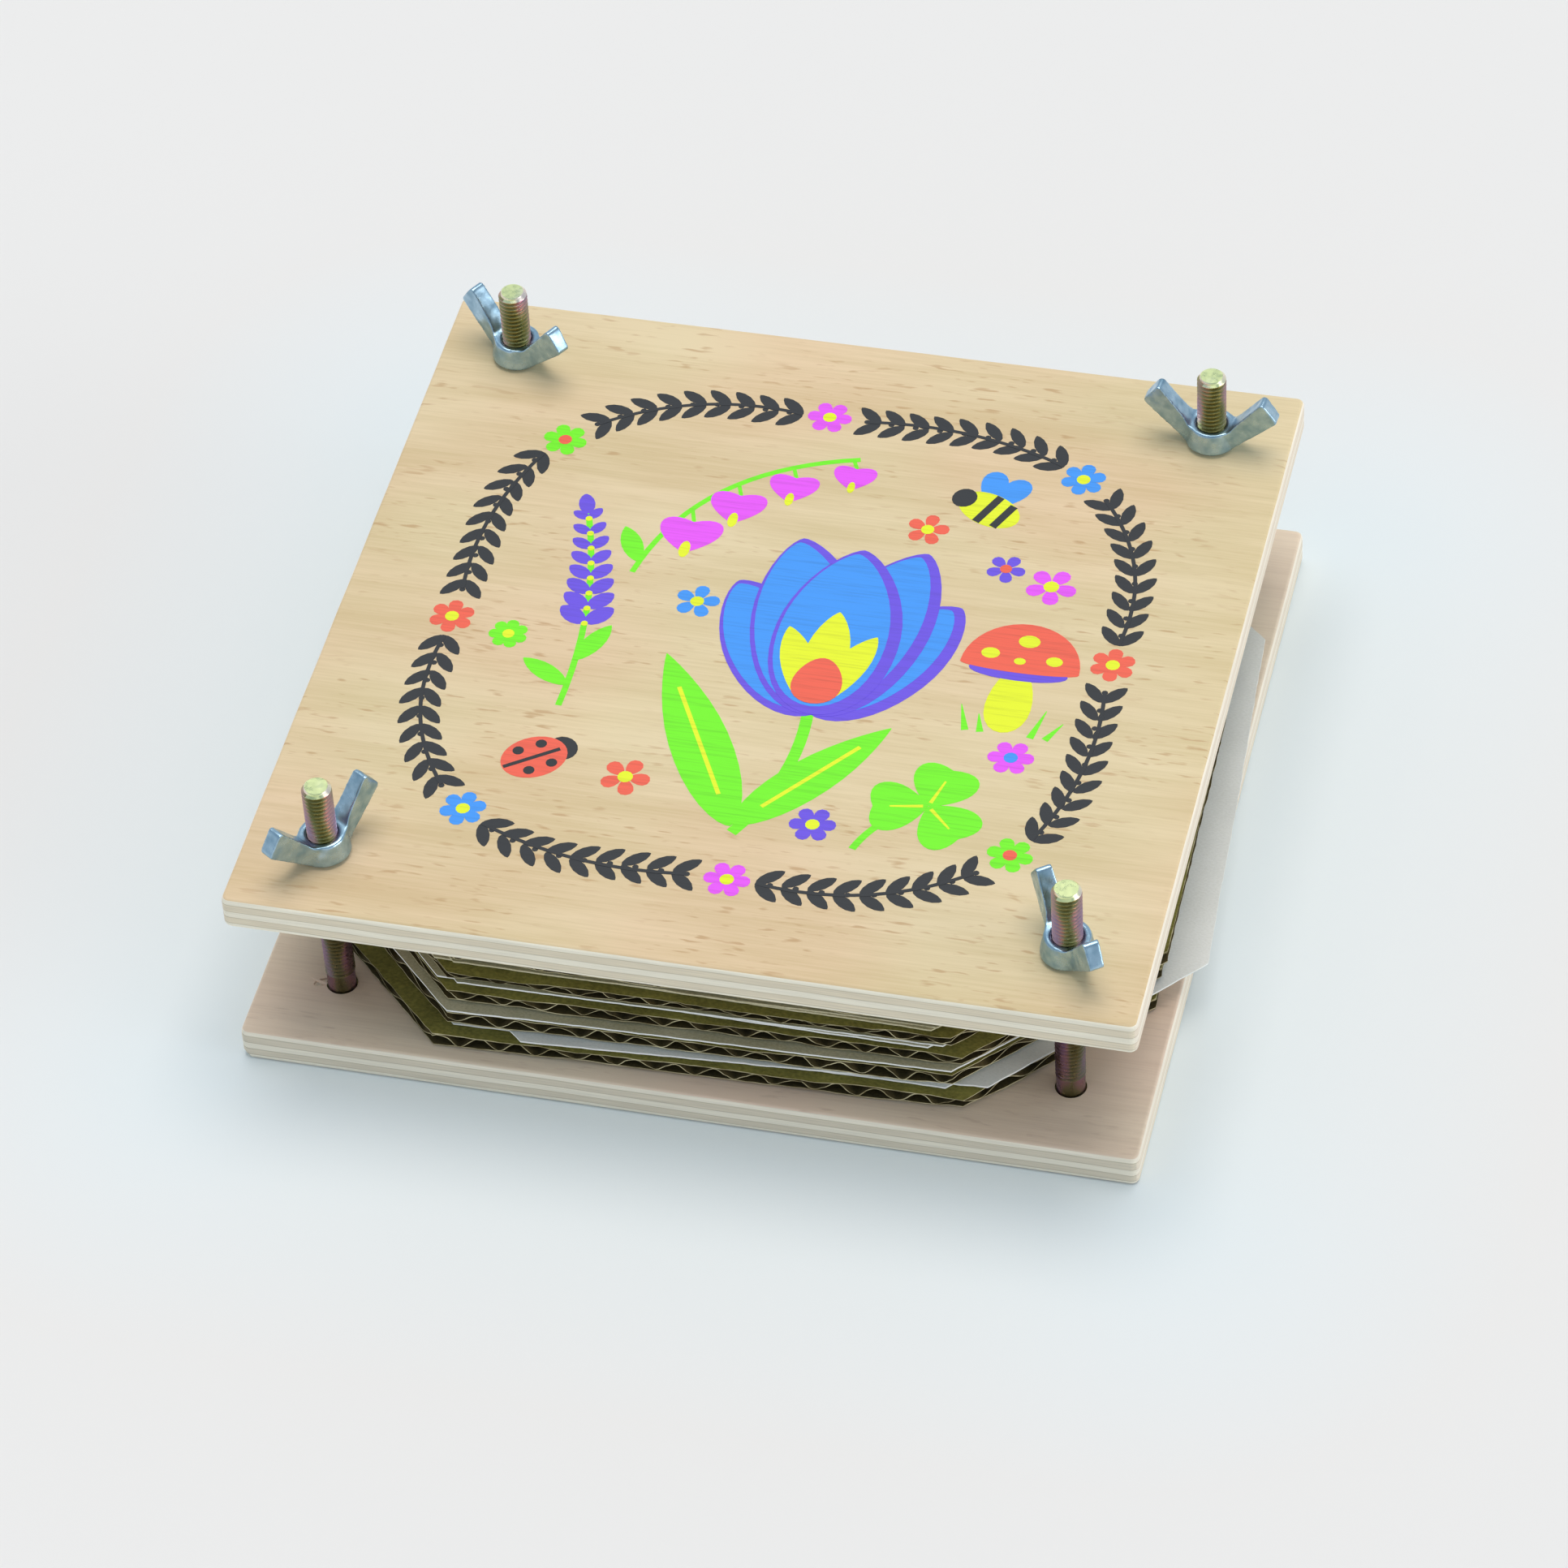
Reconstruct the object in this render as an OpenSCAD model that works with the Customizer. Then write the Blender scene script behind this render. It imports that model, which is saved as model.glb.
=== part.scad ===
// Flower press. Two plywood boards squeeze a stack of corrugated cards and blotting papers.
// Four carriage bolts rise from the lower board, and four forged wing nuts draw the upper one down.
// The origin is the centre of the lower board's underside, +Z is up and -Y is the front.

/* [Boards] */
// Side of each square plywood board
board_w = 180; // [160:1:240]
// Thickness of each board
board_t = 7.5; // [7.2:0.1:14]
// Radius of the eased arrises
arris_r = 0.9; // [0.3:0.1:1.5]
// Radius of the upright corners
corner_r = 1.6; // [0.5:0.1:8]
// Distance from a board's edges to the bolt axes
bolt_inset = 16.5; // [15.5:0.1:24]
// Gap all round a bolt in the upper board
hole_clearance = 0.5; // [0.2:0.05:0.9]

/* [Carriage bolts] */
// Thread diameter of the bolts
bolt_d = 6; // [5:0.1:8]
// Length of a bolt under its head
bolt_len = 59; // [56:0.5:90]
// Diameter of the domed head
head_d = 16.5; // [14:0.1:20]
// Height of the domed head
head_h = 3.4; // [2:0.1:3.6]
// Thickness of the head at its rim
rim_t = 0.6; // [0.3:0.1:1]
// Side of the square neck
neck_w = 6.4; // [6.1:0.1:8.5]
// Length of the square neck
neck_len = 3.5; // [1.5:0.1:3.5]
// Depth of the head's crown inside the board's underside
crown_recess = 0.2; // [0.05:0.05:0.3]
// Gap between the head's rim and its counterbore
head_clearance = 0.5; // [0.1:0.1:1.5]
// Gap between the square neck and its seat
neck_clearance = 0.05; // [0.02:0.01:0.2]
// Chamfer at the end of the thread
end_chamfer = 0.7; // [0.3:0.1:1.2]

/* [Wing nuts] */
// Greatest diameter of the boss, just over its foot
boss_d = 10.8; // [10.2:0.1:12]
// Diameter of the boss at its top
boss_top_d = 9.2; // [9:0.1:9.8]
// Height of the boss
boss_h = 5.4; // [4.8:0.1:6.5]
// Chamfer round the foot of the boss
boss_chamfer = 0.9; // [0.3:0.1:1.1]
// Rounding round the top of the boss
boss_round = 0.6; // [0.3:0.1:0.8]
// Span over the tips of the wings
wing_span = 28.4; // [26:0.1:32]
// Height of the lower corner of a wing tip
tip_low_z = 9.2; // [8:0.1:11]
// Height of the upper corner of a wing tip
tip_high_z = 13.9; // [13:0.1:16]
// How far the upper corner of a tip leans in from the lower one
tip_lean = 3.3; // [2:0.1:4.2]
// Height at which a wing's lower edge leaves the boss
root_low_z = 1.2; // [1:0.1:2.5]
// Distance from the axis to the foot of a wing's upper edge
root_high_x = 4.2; // [4.1:0.1:4.6]
// Thickness of a wing at its tip
tip_t = 2.8; // [2:0.1:3.6]
// Thickness of a wing at the boss
root_t = 3.9; // [3.4:0.1:4.6]
// Radius of the fillet between a wing and the side of the boss
web_r = 3; // [1.5:0.1:3.5]
// Radius of the fillet between a wing's upper edge and the top of the boss
root_r = 1.4; // [0.8:0.1:1.5]
// Radius of the corners of a wing tip
tip_r = 0.8; // [0.3:0.1:1.2]
// Running gap between the nut and the bolt
thread_clearance = 0.08; // [0.03:0.01:0.1]
// Chamfer at both mouths of the nut
mouth_chamfer = 0.5; // [0.2:0.1:0.7]

/* [Stack] */
// Thickness of a corrugated card
card_t = 4.15; // [3:0.05:6]
// Thickness of each facing of a corrugated card
facing_t = 0.32; // [0.2:0.02:0.5]
// Thickness of the wavy sheet inside a card
flute_t = 0.26; // [0.2:0.02:0.4]
// Width of one flute, from crest to crest
flute_w = 8; // [6:0.1:10]
// Thickness of a blotting paper
paper_t = 0.4; // [0.2:0.05:0.8]
// Distance from a board's edge to a centred card
card_margin = 5; // [4:0.5:10]
// Distance from a board's edge to a centred paper
paper_margin = 6; // [5:0.5:12]
// Gap between a bolt and the cut corner of a centred card
card_bolt_gap = 4; // [3:0.5:8]
// Gap between a bolt and the cut corner of a centred paper
paper_bolt_gap = 6.9; // [6:0.1:10]
// Gap between a sheet and the next one
sheet_gap = 0.05; // [0.02:0.01:0.1]
// Most that a sheet is turned, in degrees
sheet_twist = 3.4; // [0:0.1:3.5]

/* [Hidden] */

// How far every cut runs past the face that it opens
overrun = 0.5;
// Segments in each rounded corner of an outline
corner_steps = 5;
// Facets of the round shapes
round_fn = 64;

// Corners of the press: left is -1 and right is 1, front is -1 and back is 1
front_left = [-1, -1];
front_right = [1, -1];
back_left = [-1, 1];
back_right = [1, 1];

// Angle in degrees that the front left wing nut was left at
front_left_degrees = 57.5;
// Angle in degrees that the front right wing nut was left at
front_right_degrees = -54.5;
// Angle in degrees that the back left wing nut was left at
back_left_degrees = -29;
// Angle in degrees that the back right wing nut was left at
back_right_degrees = -5;

// For each card, from the lowest: how far it has slipped to the right and to the back, as shares of the
// way to a bolt, its twist, as a share of the most, and how much deeper its corners are cut than the gap
// says, as a share of the gap
card_slip_shares = [
    [-0.09, -0.04, 0.43, -0.12], [0.02, 0.21, 0.37, 0.34], [0.30, 0.39, 0.26, 0.19],
    [0.24, 0.41, 0.15, 0.37], [0.34, 0.53, 0.10, 0.45], [-0.04, 0.40, -0.04, 0.05]
];
// The same for the papers: the second one has slid right out over the edge of the boards
paper_slip_shares = [
    [0.04, 0.08, 0.25, 0], [0.80, -0.01, 1, 0.30], [-0.08, 0.10, 0.12, 0.05], [0, -0.05, 0.44, -0.10],
    [-0.10, 0.24, -0.12, 0], [0.10, 0.20, 0.22, 0.08], [-0.04, 0.24, -0.16, -0.05], [0.10, 0.22, 0.08, 0.10],
    [0.10, 0.30, -0.06, 0.05], [0.02, 0.24, 0.15, 0]
];

// Sheets in the stack, from the bottom: a card, then two papers and a card, over and over
papers_between = 2;
card_count = len(card_slip_shares);
paper_count = len(paper_slip_shares);
layer_rise = card_t + papers_between * paper_t + (papers_between + 1) * sheet_gap;
stack_h = card_count * card_t + paper_count * paper_t + (card_count + paper_count + 1) * sheet_gap;
top_board_z = board_t + stack_h;
top_z = top_board_z + board_t;

// Bolts: the axes stand at the corners of a square, and each head lies in a counterbore
bolt_x = board_w / 2 - bolt_inset;
bolt_r = bolt_d / 2;
head_seat_z = crown_recess + head_h;
dome_h = head_h - rim_t;
dome_r = (pow(head_d / 2, 2) + pow(dome_h, 2)) / (2 * dome_h);

// Flutes: the wave runs from facing to facing, and its crests are glued into them
wave_h = card_t / 2 - facing_t;
// Half the width of a cell at the facing, and of its curved floor, as shares of the pitch
cell_mouth_share = 0.43;
cell_floor_share = 0.34;
// Steps on each side of a cell's middle
cell_steps = 3;

// Unit vector along v
function unit(v) = v / norm(v);

// Arc that rounds corner b of the line from a to b to c
function rounded_corner(a, b, c, r) =
    let (
        to_a = unit(a - b),
        to_c = unit(c - b),
        half = acos(to_a * to_c) / 2,
        centre = b + unit(to_a + to_c) * r / sin(half),
        start = b + to_a * r / tan(half) - centre,
        end = b + to_c * r / tan(half) - centre,
        sweep = 180 - 2 * half
    )
    [for (i = [0:corner_steps])
        let (s = i / corner_steps)
        centre + (sin((1 - s) * sweep) * start + sin(s * sweep) * end) / sin(sweep)];

// Closed outline with the corner radius that each [x, y, radius] asks for
function rounded_outline(corners) =
    let (n = len(corners), p = [for (c = corners) [c.x, c.y]])
    [for (i = [0:n - 1])
        each corners[i].z > 0
            ? rounded_corner(p[(i + n - 1) % n], p[i], p[(i + 1) % n], corners[i].z)
            : [p[i]]];

// Rectangle with round corners, centred on the origin
module rounded_rectangle(w, h, r) {
    polygon(rounded_outline([
        [-w / 2, -h / 2, r],
        [w / 2, -h / 2, r],
        [w / 2, h / 2, r],
        [-w / 2, h / 2, r]
    ]));
}

// Square board with eased arrises, standing on z = 0
module board_blank() {
    intersection() {
        linear_extrude(board_t) rounded_rectangle(board_w, board_w, corner_r);
        translate([0, board_w / 2, board_t / 2])
            rotate([90, 0, 0])
            linear_extrude(board_w)
            rounded_rectangle(board_w, board_t, arris_r);
        translate([-board_w / 2, 0, board_t / 2])
            rotate([90, 0, 90])
            linear_extrude(board_w)
            rounded_rectangle(board_w, board_t, arris_r);
    }
}

// Places its children on the axis of one bolt
module at_corner(corner) {
    translate([corner.x * bolt_x, corner.y * bolt_x, 0]) children();
}

module at_every_corner() {
    for (corner = [front_left, front_right, back_left, back_right]) at_corner(corner) children();
}

// Seat of a carriage bolt: a counterbore for the head and a square hole for the neck
module bolt_seat() {
    seat_d = head_d + 2 * head_clearance;
    seat_w = neck_w + 2 * neck_clearance;
    translate([0, 0, -overrun]) cylinder(d = seat_d, h = head_seat_z + overrun, $fn = round_fn);
    translate([-seat_w / 2, -seat_w / 2, 0]) cube([seat_w, seat_w, board_t + overrun]);
}

module bottom_board() {
    color("burlywood")
    difference() {
        board_blank();
        at_every_corner() bolt_seat();
    }
}

module top_board() {
    color("burlywood")
    translate([0, 0, top_board_z])
    difference() {
        board_blank();
        at_every_corner()
            translate([0, 0, -overrun])
            cylinder(d = bolt_d + 2 * hole_clearance, h = board_t + 2 * overrun, $fn = round_fn);
    }
}

// Domed head, crown down, with its flat side up at the counterbore's floor
module bolt_head() {
    intersection() {
        translate([0, 0, crown_recess]) cylinder(d = head_d, h = head_h, $fn = round_fn);
        translate([0, 0, crown_recess + dome_r]) sphere(r = dome_r, $fn = round_fn);
    }
}

// Round shank with a chamfered end
module bolt_shank() {
    translate([0, 0, head_seat_z])
        rotate_extrude($fn = round_fn)
        polygon([
            [0, 0],
            [bolt_r, 0],
            [bolt_r, bolt_len - end_chamfer],
            [bolt_r - end_chamfer, bolt_len],
            [0, bolt_len]
        ]);
}

module carriage_bolt(corner) {
    color("darkkhaki")
    at_corner(corner) {
        bolt_head();
        translate([-neck_w / 2, -neck_w / 2, head_seat_z]) cube([neck_w, neck_w, neck_len]);
        bolt_shank();
    }
}

// Outline of both wings seen from the side, as the forging dies part
module wing_elevation() {
    half_span = wing_span / 2;
    boss_r = boss_d / 2;
    right = [
        [root_high_x, boss_chamfer, 0],
        [boss_r, root_low_z, 0],
        [half_span, tip_low_z, tip_r],
        [half_span - tip_lean, tip_high_z, tip_r],
        [root_high_x, boss_h, root_r]
    ];
    left = [for (i = [len(right) - 1:-1:0]) [-right[i].x, right[i].y, right[i].z]];
    polygon(rounded_outline(concat(right, left)));
}

// Outline of the wings seen from above, with webs that run into the boss
module wing_plan() {
    half_span = wing_span / 2 + overrun;
    boss_r = boss_top_d / 2;
    web_x = boss_d / 2;
    flat_y = boss_r * cos(30);
    flat_x = boss_r * sin(30);
    quarter = [[half_span, tip_t / 2, 0], [web_x, root_t / 2, web_r], [flat_x, flat_y, 0]];
    mirrored = [for (i = [len(quarter) - 1:-1:0]) [-quarter[i].x, quarter[i].y, quarter[i].z]];
    upper = concat(quarter, mirrored);
    lower = [for (i = [len(upper) - 1:-1:0]) [upper[i].x, -upper[i].y, upper[i].z]];
    polygon(rounded_outline(concat(upper, lower)));
}

// Tapered boss with a chamfered foot and a rounded top
module boss() {
    rotate_extrude($fn = round_fn)
        polygon(rounded_outline([
            [0, 0, 0],
            [boss_d / 2 - boss_chamfer, 0, 0],
            [boss_d / 2, boss_chamfer, 0],
            [boss_top_d / 2, boss_h, boss_round],
            [0, boss_h, 0]
        ]));
}

// Bore of the nut, opened at both mouths
module nut_bore() {
    bore_r = bolt_r + thread_clearance;
    rotate_extrude($fn = round_fn)
        polygon([
            [0, -overrun],
            [bore_r + mouth_chamfer + overrun, -overrun],
            [bore_r, mouth_chamfer],
            [bore_r, boss_h - mouth_chamfer],
            [bore_r + mouth_chamfer + overrun, boss_h + overrun],
            [0, boss_h + overrun]
        ]);
}

// Wing nut, forged in one piece, at the angle that it was left at
module wing_nut(corner, angle) {
    color("lightslategray")
    at_corner(corner)
        translate([0, 0, top_z])
        rotate([0, 0, angle])
        difference() {
            union() {
                boss();
                intersection() {
                    linear_extrude(tip_high_z + overrun) wing_plan();
                    translate([0, boss_d / 2, 0])
                        rotate([90, 0, 0])
                        linear_extrude(boss_d)
                        wing_elevation();
                }
            }
            nut_bore();
        }
}

// Gap between a bolt and the cut corner of a centred sheet, with the last of its shares counted in
function cut_gap(shares, gap) = gap * (1 + shares[3]);

// Octagon of a sheet: a square of side w whose corners are cut clear of the bolts by gap
module sheet_outline(w, gap) {
    half = w / 2;
    cut = w - sqrt(2) * (norm([bolt_x, bolt_x]) - bolt_r - gap);
    edge = half - cut;
    polygon([
        [-edge, -half], [edge, -half], [half, -edge], [half, edge],
        [edge, half], [-edge, half], [-half, edge], [-half, -edge]
    ]);
}

// Places a sheet that has slipped by shares of the way to a bolt
module slipped(shares, gap, z) {
    reach = gap * sqrt(2);
    translate([shares[0] * reach, shares[1] * reach, z])
        rotate([0, 0, shares[2] * sheet_twist])
        children();
}

// Point on the upper side of the wavy sheet, at distance x from the bottom of a trough
function flute_point(x) =
    let (
        angle = 360 * x / flute_w,
        slope = wave_h * sin(angle) * 2 * PI / flute_w,
        normal = unit([-slope, 1])
    )
    [x, -wave_h * cos(angle)] + normal * flute_t / 2;

// Air cell between a facing and a trough of the wavy sheet, seen along the flutes
module flute_cell() {
    mouth = cell_mouth_share * flute_w;
    step = cell_floor_share * flute_w / cell_steps;
    polygon(concat(
        [[-mouth, wave_h]],
        [for (i = [-cell_steps:cell_steps]) flute_point(i * step)],
        [[mouth, wave_h]]
    ));
}

// Section through a corrugated card, square to its flutes
module card_section(w) {
    cells = ceil(w / 2 / flute_w);
    run = 2 * (cells + 1) * flute_w;
    difference() {
        square([run, card_t], center = true);
        for (i = [-cells:cells]) {
            translate([i * flute_w, 0]) flute_cell();
            translate([(i + 1 / 2) * flute_w, 0]) mirror([0, 1]) flute_cell();
        }
    }
}

// Corrugated card: flutes run from front to back, and every cut edge shows them
module corrugated_card(number) {
    w = board_w - 2 * card_margin;
    shares = card_slip_shares[number - 1];
    color("tan")
    slipped(shares, card_bolt_gap, board_t + sheet_gap + (number - 1) * layer_rise)
        intersection() {
            translate([0, w / 2 + overrun, card_t / 2])
                rotate([90, 0, 0])
                linear_extrude(w + 2 * overrun)
                card_section(w);
            linear_extrude(card_t) sheet_outline(w, cut_gap(shares, card_bolt_gap));
        }
}

// Blotting paper: two lie between each card and the next
module blotting_paper(number) {
    shares = paper_slip_shares[number - 1];
    layer = floor((number - 1) / papers_between);
    place = (number - 1) % papers_between;
    z = board_t + layer * layer_rise + card_t + 2 * sheet_gap + place * (paper_t + sheet_gap);
    color("gainsboro")
    slipped(shares, paper_bolt_gap, z)
        linear_extrude(paper_t)
        sheet_outline(board_w - 2 * paper_margin, cut_gap(shares, paper_bolt_gap));
}

module carriage_bolt_front_left() { carriage_bolt(front_left); }
module carriage_bolt_front_right() { carriage_bolt(front_right); }
module carriage_bolt_back_left() { carriage_bolt(back_left); }
module carriage_bolt_back_right() { carriage_bolt(back_right); }

module wing_nut_front_left() { wing_nut(front_left, front_left_degrees); }
module wing_nut_front_right() { wing_nut(front_right, front_right_degrees); }
module wing_nut_back_left() { wing_nut(back_left, back_left_degrees); }
module wing_nut_back_right() { wing_nut(back_right, back_right_degrees); }

module corrugated_card_1() { corrugated_card(1); }
module corrugated_card_2() { corrugated_card(2); }
module corrugated_card_3() { corrugated_card(3); }
module corrugated_card_4() { corrugated_card(4); }
module corrugated_card_5() { corrugated_card(5); }
module corrugated_card_6() { corrugated_card(6); }

module blotting_paper_1() { blotting_paper(1); }
module blotting_paper_2() { blotting_paper(2); }
module blotting_paper_3() { blotting_paper(3); }
module blotting_paper_4() { blotting_paper(4); }
module blotting_paper_5() { blotting_paper(5); }
module blotting_paper_6() { blotting_paper(6); }
module blotting_paper_7() { blotting_paper(7); }
module blotting_paper_8() { blotting_paper(8); }
module blotting_paper_9() { blotting_paper(9); }
module blotting_paper_10() { blotting_paper(10); }

bottom_board();
top_board();
carriage_bolt_front_left();
carriage_bolt_front_right();
carriage_bolt_back_left();
carriage_bolt_back_right();
wing_nut_front_left();
wing_nut_front_right();
wing_nut_back_left();
wing_nut_back_right();
corrugated_card_1();
corrugated_card_2();
corrugated_card_3();
corrugated_card_4();
corrugated_card_5();
corrugated_card_6();
blotting_paper_1();
blotting_paper_2();
blotting_paper_3();
blotting_paper_4();
blotting_paper_5();
blotting_paper_6();
blotting_paper_7();
blotting_paper_8();
blotting_paper_9();
blotting_paper_10();
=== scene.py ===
import math

import bmesh
import bpy
from mathutils import Matrix, Vector, noise


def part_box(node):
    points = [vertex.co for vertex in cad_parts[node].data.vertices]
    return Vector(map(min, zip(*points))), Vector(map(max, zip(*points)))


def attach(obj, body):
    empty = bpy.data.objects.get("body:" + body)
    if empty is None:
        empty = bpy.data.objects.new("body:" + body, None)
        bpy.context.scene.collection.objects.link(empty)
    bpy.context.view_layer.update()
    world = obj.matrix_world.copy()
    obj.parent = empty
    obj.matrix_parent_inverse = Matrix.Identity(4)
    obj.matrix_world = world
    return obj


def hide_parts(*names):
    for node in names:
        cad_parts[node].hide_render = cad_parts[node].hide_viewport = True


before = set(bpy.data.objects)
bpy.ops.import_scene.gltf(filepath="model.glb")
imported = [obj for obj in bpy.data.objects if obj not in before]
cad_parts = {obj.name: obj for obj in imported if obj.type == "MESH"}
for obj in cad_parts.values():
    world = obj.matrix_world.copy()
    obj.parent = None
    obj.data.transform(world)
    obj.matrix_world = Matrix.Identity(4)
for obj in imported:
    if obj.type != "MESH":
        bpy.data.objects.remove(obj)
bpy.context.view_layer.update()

# Lengths are written in millimetres and turned to Blender's metres by this factor
MM = 0.001
# Points nearer than these count as one
TINY, CLOSE = 0.001 * MM, 0.01 * MM

# Camera: a long lens that looks down on the press from its front right
LENS_MM = 153.85
SENSOR_MM = 36
AZIMUTH, ELEVATION, ROLL = (math.radians(a) for a in (15.876, 44.971, -3.712))
AIM = Vector((4.623, -20.169, 25.0)) * MM
DISTANCE = 1334.57 * MM
CLIP_END = 20000 * MM

# Light: a wide key overhead and a little behind the press, a low lamp on its right, and a cool sky
KEY_FROM, KEY_STRENGTH, KEY_SPREAD = Vector((0.0, 0.22, 1.0)), 1.80, math.radians(48)
SIDE_FROM, SIDE_STRENGTH, SIDE_SPREAD = Vector((1.0, -0.12, 0.12)), 0.95, math.radians(36)
KEY_COLOUR, SIDE_COLOUR = (1.0, 0.935, 0.86), (1.0, 0.985, 0.96)
SKY_STRENGTH = 0.78
FLOOR_REACH = 4000 * MM
# Reach of the painted cool shadow on the floor round the press
SHADOW_TINT_REACH = 75 * MM

# Edges that turn by more than these angles stay sharp
CREASE, BOLT_CREASE, SHEET_CREASE = (math.radians(a) for a in (35, 40, 50))

# Smooth noise, with seeds that wear each piece its own way
SEED_STEPS, NOISE_GAIN = (7.1, 3.7, 5.3), 1.6
LOWER_SEED, UPPER_SEED, SKIN_SEED, CRUSH_SEED, PAPER_SEED, SEEDS_PER_CARD = 11, 23, 3, 30, 60, 5

# Boards
ARRIS_R, ARRIS_TURN = 0.9 * MM, math.radians(60)
ARRIS_WEAR, WEAR_MEAN, WEAR_VARY, WEAR_GRAIN = 0.1 * MM, 0.5, 0.5, 14 * MM
VENEER_SHARE = 0.3
CORNER_R, ROUND_SEGMENTS = 1.6 * MM, 4
BOLT_INSET = 16.5 * MM
PLY_SHARES = (0.17, 0.38, 0.60, 0.83)
GLUE_SHARE = 0.02
SIDE_TONES = ("#FBF0DE", "#F3E4CF", "#DAC6AB")
FIBRE_MM = (14, 0.5, 2)
LONG_EDGE, EDGE_STEP = 50 * MM, 2 * MM
HOLE_R, HOLE_SIDES = 3.5 * MM, 40
MOUTH_R = 3.15 * MM
SEAT_LAP = 0.2 * MM
TORN_X, TORN_Y = -4 * MM, -0.6 * MM
TORN_SIZE, KNOCK_SIZE = Vector((2.1, 1.1, 0.9)) * MM, Vector((2.6, 1.7, 2.2)) * MM
CHIP_TURN = 0.6
SLIVER_LEN, SLIVER_ROOT_R, SLIVER_TIP_R = 3.4 * MM, 0.75 * MM, 0.12 * MM
SLIVER_SIDES, SLIVER_FLAT = 5, 0.45
SLIVER_X, SLIVER_Y, SLIVER_RISE, SLIVER_LEAN = -4.6 * MM, -0.9 * MM, 0.45 * MM, math.radians(-62)

# Bolts
BOLT_R, SHANK_SIDES = 3 * MM, 32
THREAD_ROOT_R = 2.5 * MM
THREAD_PITCH = 1 * MM
THREAD_SHARES = (0, 0.33, 0.45, 0.78, 1)
THREAD_STEPS = 24
THREAD_LAP = 0.5 * MM
NECK_W, NECK_SIDES = 6.4 * MM, 4
NECK_LEN = 3.5 * MM
NECK_EDGE_R, NECK_SEGMENTS = 0.6 * MM, 3
NECK_LAP = 0.1 * MM
NECK_CLEARANCE = 0.05 * MM
PLAIN_LEN = 5 * MM
PLAIN_R = BOLT_R - 0.15 * MM
PLAIN_CHAMFER = 0.4 * MM
TIP_CHAMFER = 0.7 * MM
# Painted sheen: the bolts' film turns rosy on the flanks that face the camera's left and right, and stays
# olive where it faces the camera
PAINTED_SHEEN_FLANK, PAINTED_SHEEN_SHARE = (0.96, 0.27, 0), 0.42
FILM_STOPS = (0.52, 0.64, 0.76, 0.88)
# Painted shade: below this height, between the boards, the bolts' film is darkened and tinted purple, fading
# out over the next length
PAINTED_SHADE_BELOW, PAINTED_SHADE_FADE = 28 * MM, 12 * MM
HEAD_R, HEAD_SIDES = 8.25 * MM, 48
HEAD_H = 3.4 * MM
HEAD_CLEARANCE = 0.5 * MM
HEAD_SEAT_Z = 3.6 * MM
RIM_T = 0.6 * MM
DOME_STEPS = 10

# Nuts, whose bore and foot keep a smooth skin
FORGED_SKIN, SKIN_GRAIN = 0.035 * MM, 1.6 * MM
SMOOTH_BORE, SMOOTH_FOOT = 0.6 * MM, 0.3 * MM
VOXEL, SMOOTH_PASSES = 0.2 * MM, 2

# Sheets, with the twist and the trim of each one from the lowest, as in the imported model
CARD_W, PAPER_W = 170 * MM, 168 * MM
CARD_T, FACING_T, FLUTE_T = 4.15 * MM, 0.32 * MM, 0.24 * MM
FLUTE_W, FLUTE_STEPS, FLUTE_ROWS = 8 * MM, 12, 5
FLUTE_SLACK, SLACK_GRAIN = 0.7 * MM, 18 * MM
FLUTE_WAVER, WAVER_GRAIN, FLUTE_END = 0.35 * MM, 2.5 * MM, 0.1 * MM
CARD_BOLT_GAP, PAPER_BOLT_GAP = 4 * MM, 6.9 * MM
SHEET_TWIST = math.radians(3.4)
CARD_TWIST_SHARES = (0.43, 0.37, 0.26, 0.15, 0.10, -0.04)
CARD_TRIM_SHARES = (-0.12, 0.34, 0.19, 0.37, 0.45, 0.05)
PAPER_TWIST_SHARES = (0.25, 1, 0.12, 0.44, -0.12, 0.22, -0.16, 0.08, -0.06, 0.15)
PAPER_TRIM_SHARES = (0, 0.30, 0.05, -0.10, 0, 0.08, -0.05, 0.10, 0.05, 0)
CRUSH_REACH, RIM_BAND = 3 * MM, 4 * MM
CRUSH_SHARES = (0.42, 0.36, 0.52, 0.64, 0.62, 0.45)
CRUSH_MEAN, CRUSH_VARY, CRUSH_GRAIN = 0.8, 0.45, 9 * MM
CARD_STEP, CARD_RAGGED = 1.2 * MM, 0.12 * MM
PAPER_STEP, PAPER_RAGGED = 1.5 * MM, 0.1 * MM
SNIP_GRAIN, SWAY_GRAIN, SWAY_SHARE = 2.2 * MM, 25 * MM, 1.5
# Sides of a sheet that are longer than a first length are divided as if they had the second
SIDE_LENGTHS = ((60 * MM, 100 * MM), (20 * MM, 45 * MM))
# A face that points this much or more along an axis faces that way
FACES_WAY = 0.5

# Print on the upper board, its motifs in bare millimetres from the middle of the face. Each coat of ink
# stands a little over the last one, and spots on one coat differ by a hair, so that none share a face
INK_T = 0.02 * MM
HAIR_STEP, HAIR_SHARE = 0.618, 0.8
LAUREL_HALF, LAUREL_R = 66.5, 43
LAUREL_STRAIGHT, LAUREL_BEND = 2 * (LAUREL_HALF - LAUREL_R), LAUREL_R * math.pi / 2
LAUREL_PARTS, LAUREL_STEP, LEAF_REACH = 8, 5.1, 5.2


def linear(hex_colour):
    """Linear colour of an sRGB hex value."""
    channels = [int(hex_colour[i:i + 2], 16) / 255 for i in (1, 3, 5)]
    return tuple(c / 12.92 if c <= 0.04045 else ((c + 0.055) / 1.055) ** 2.4 for c in channels) + (1.0,)


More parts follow.
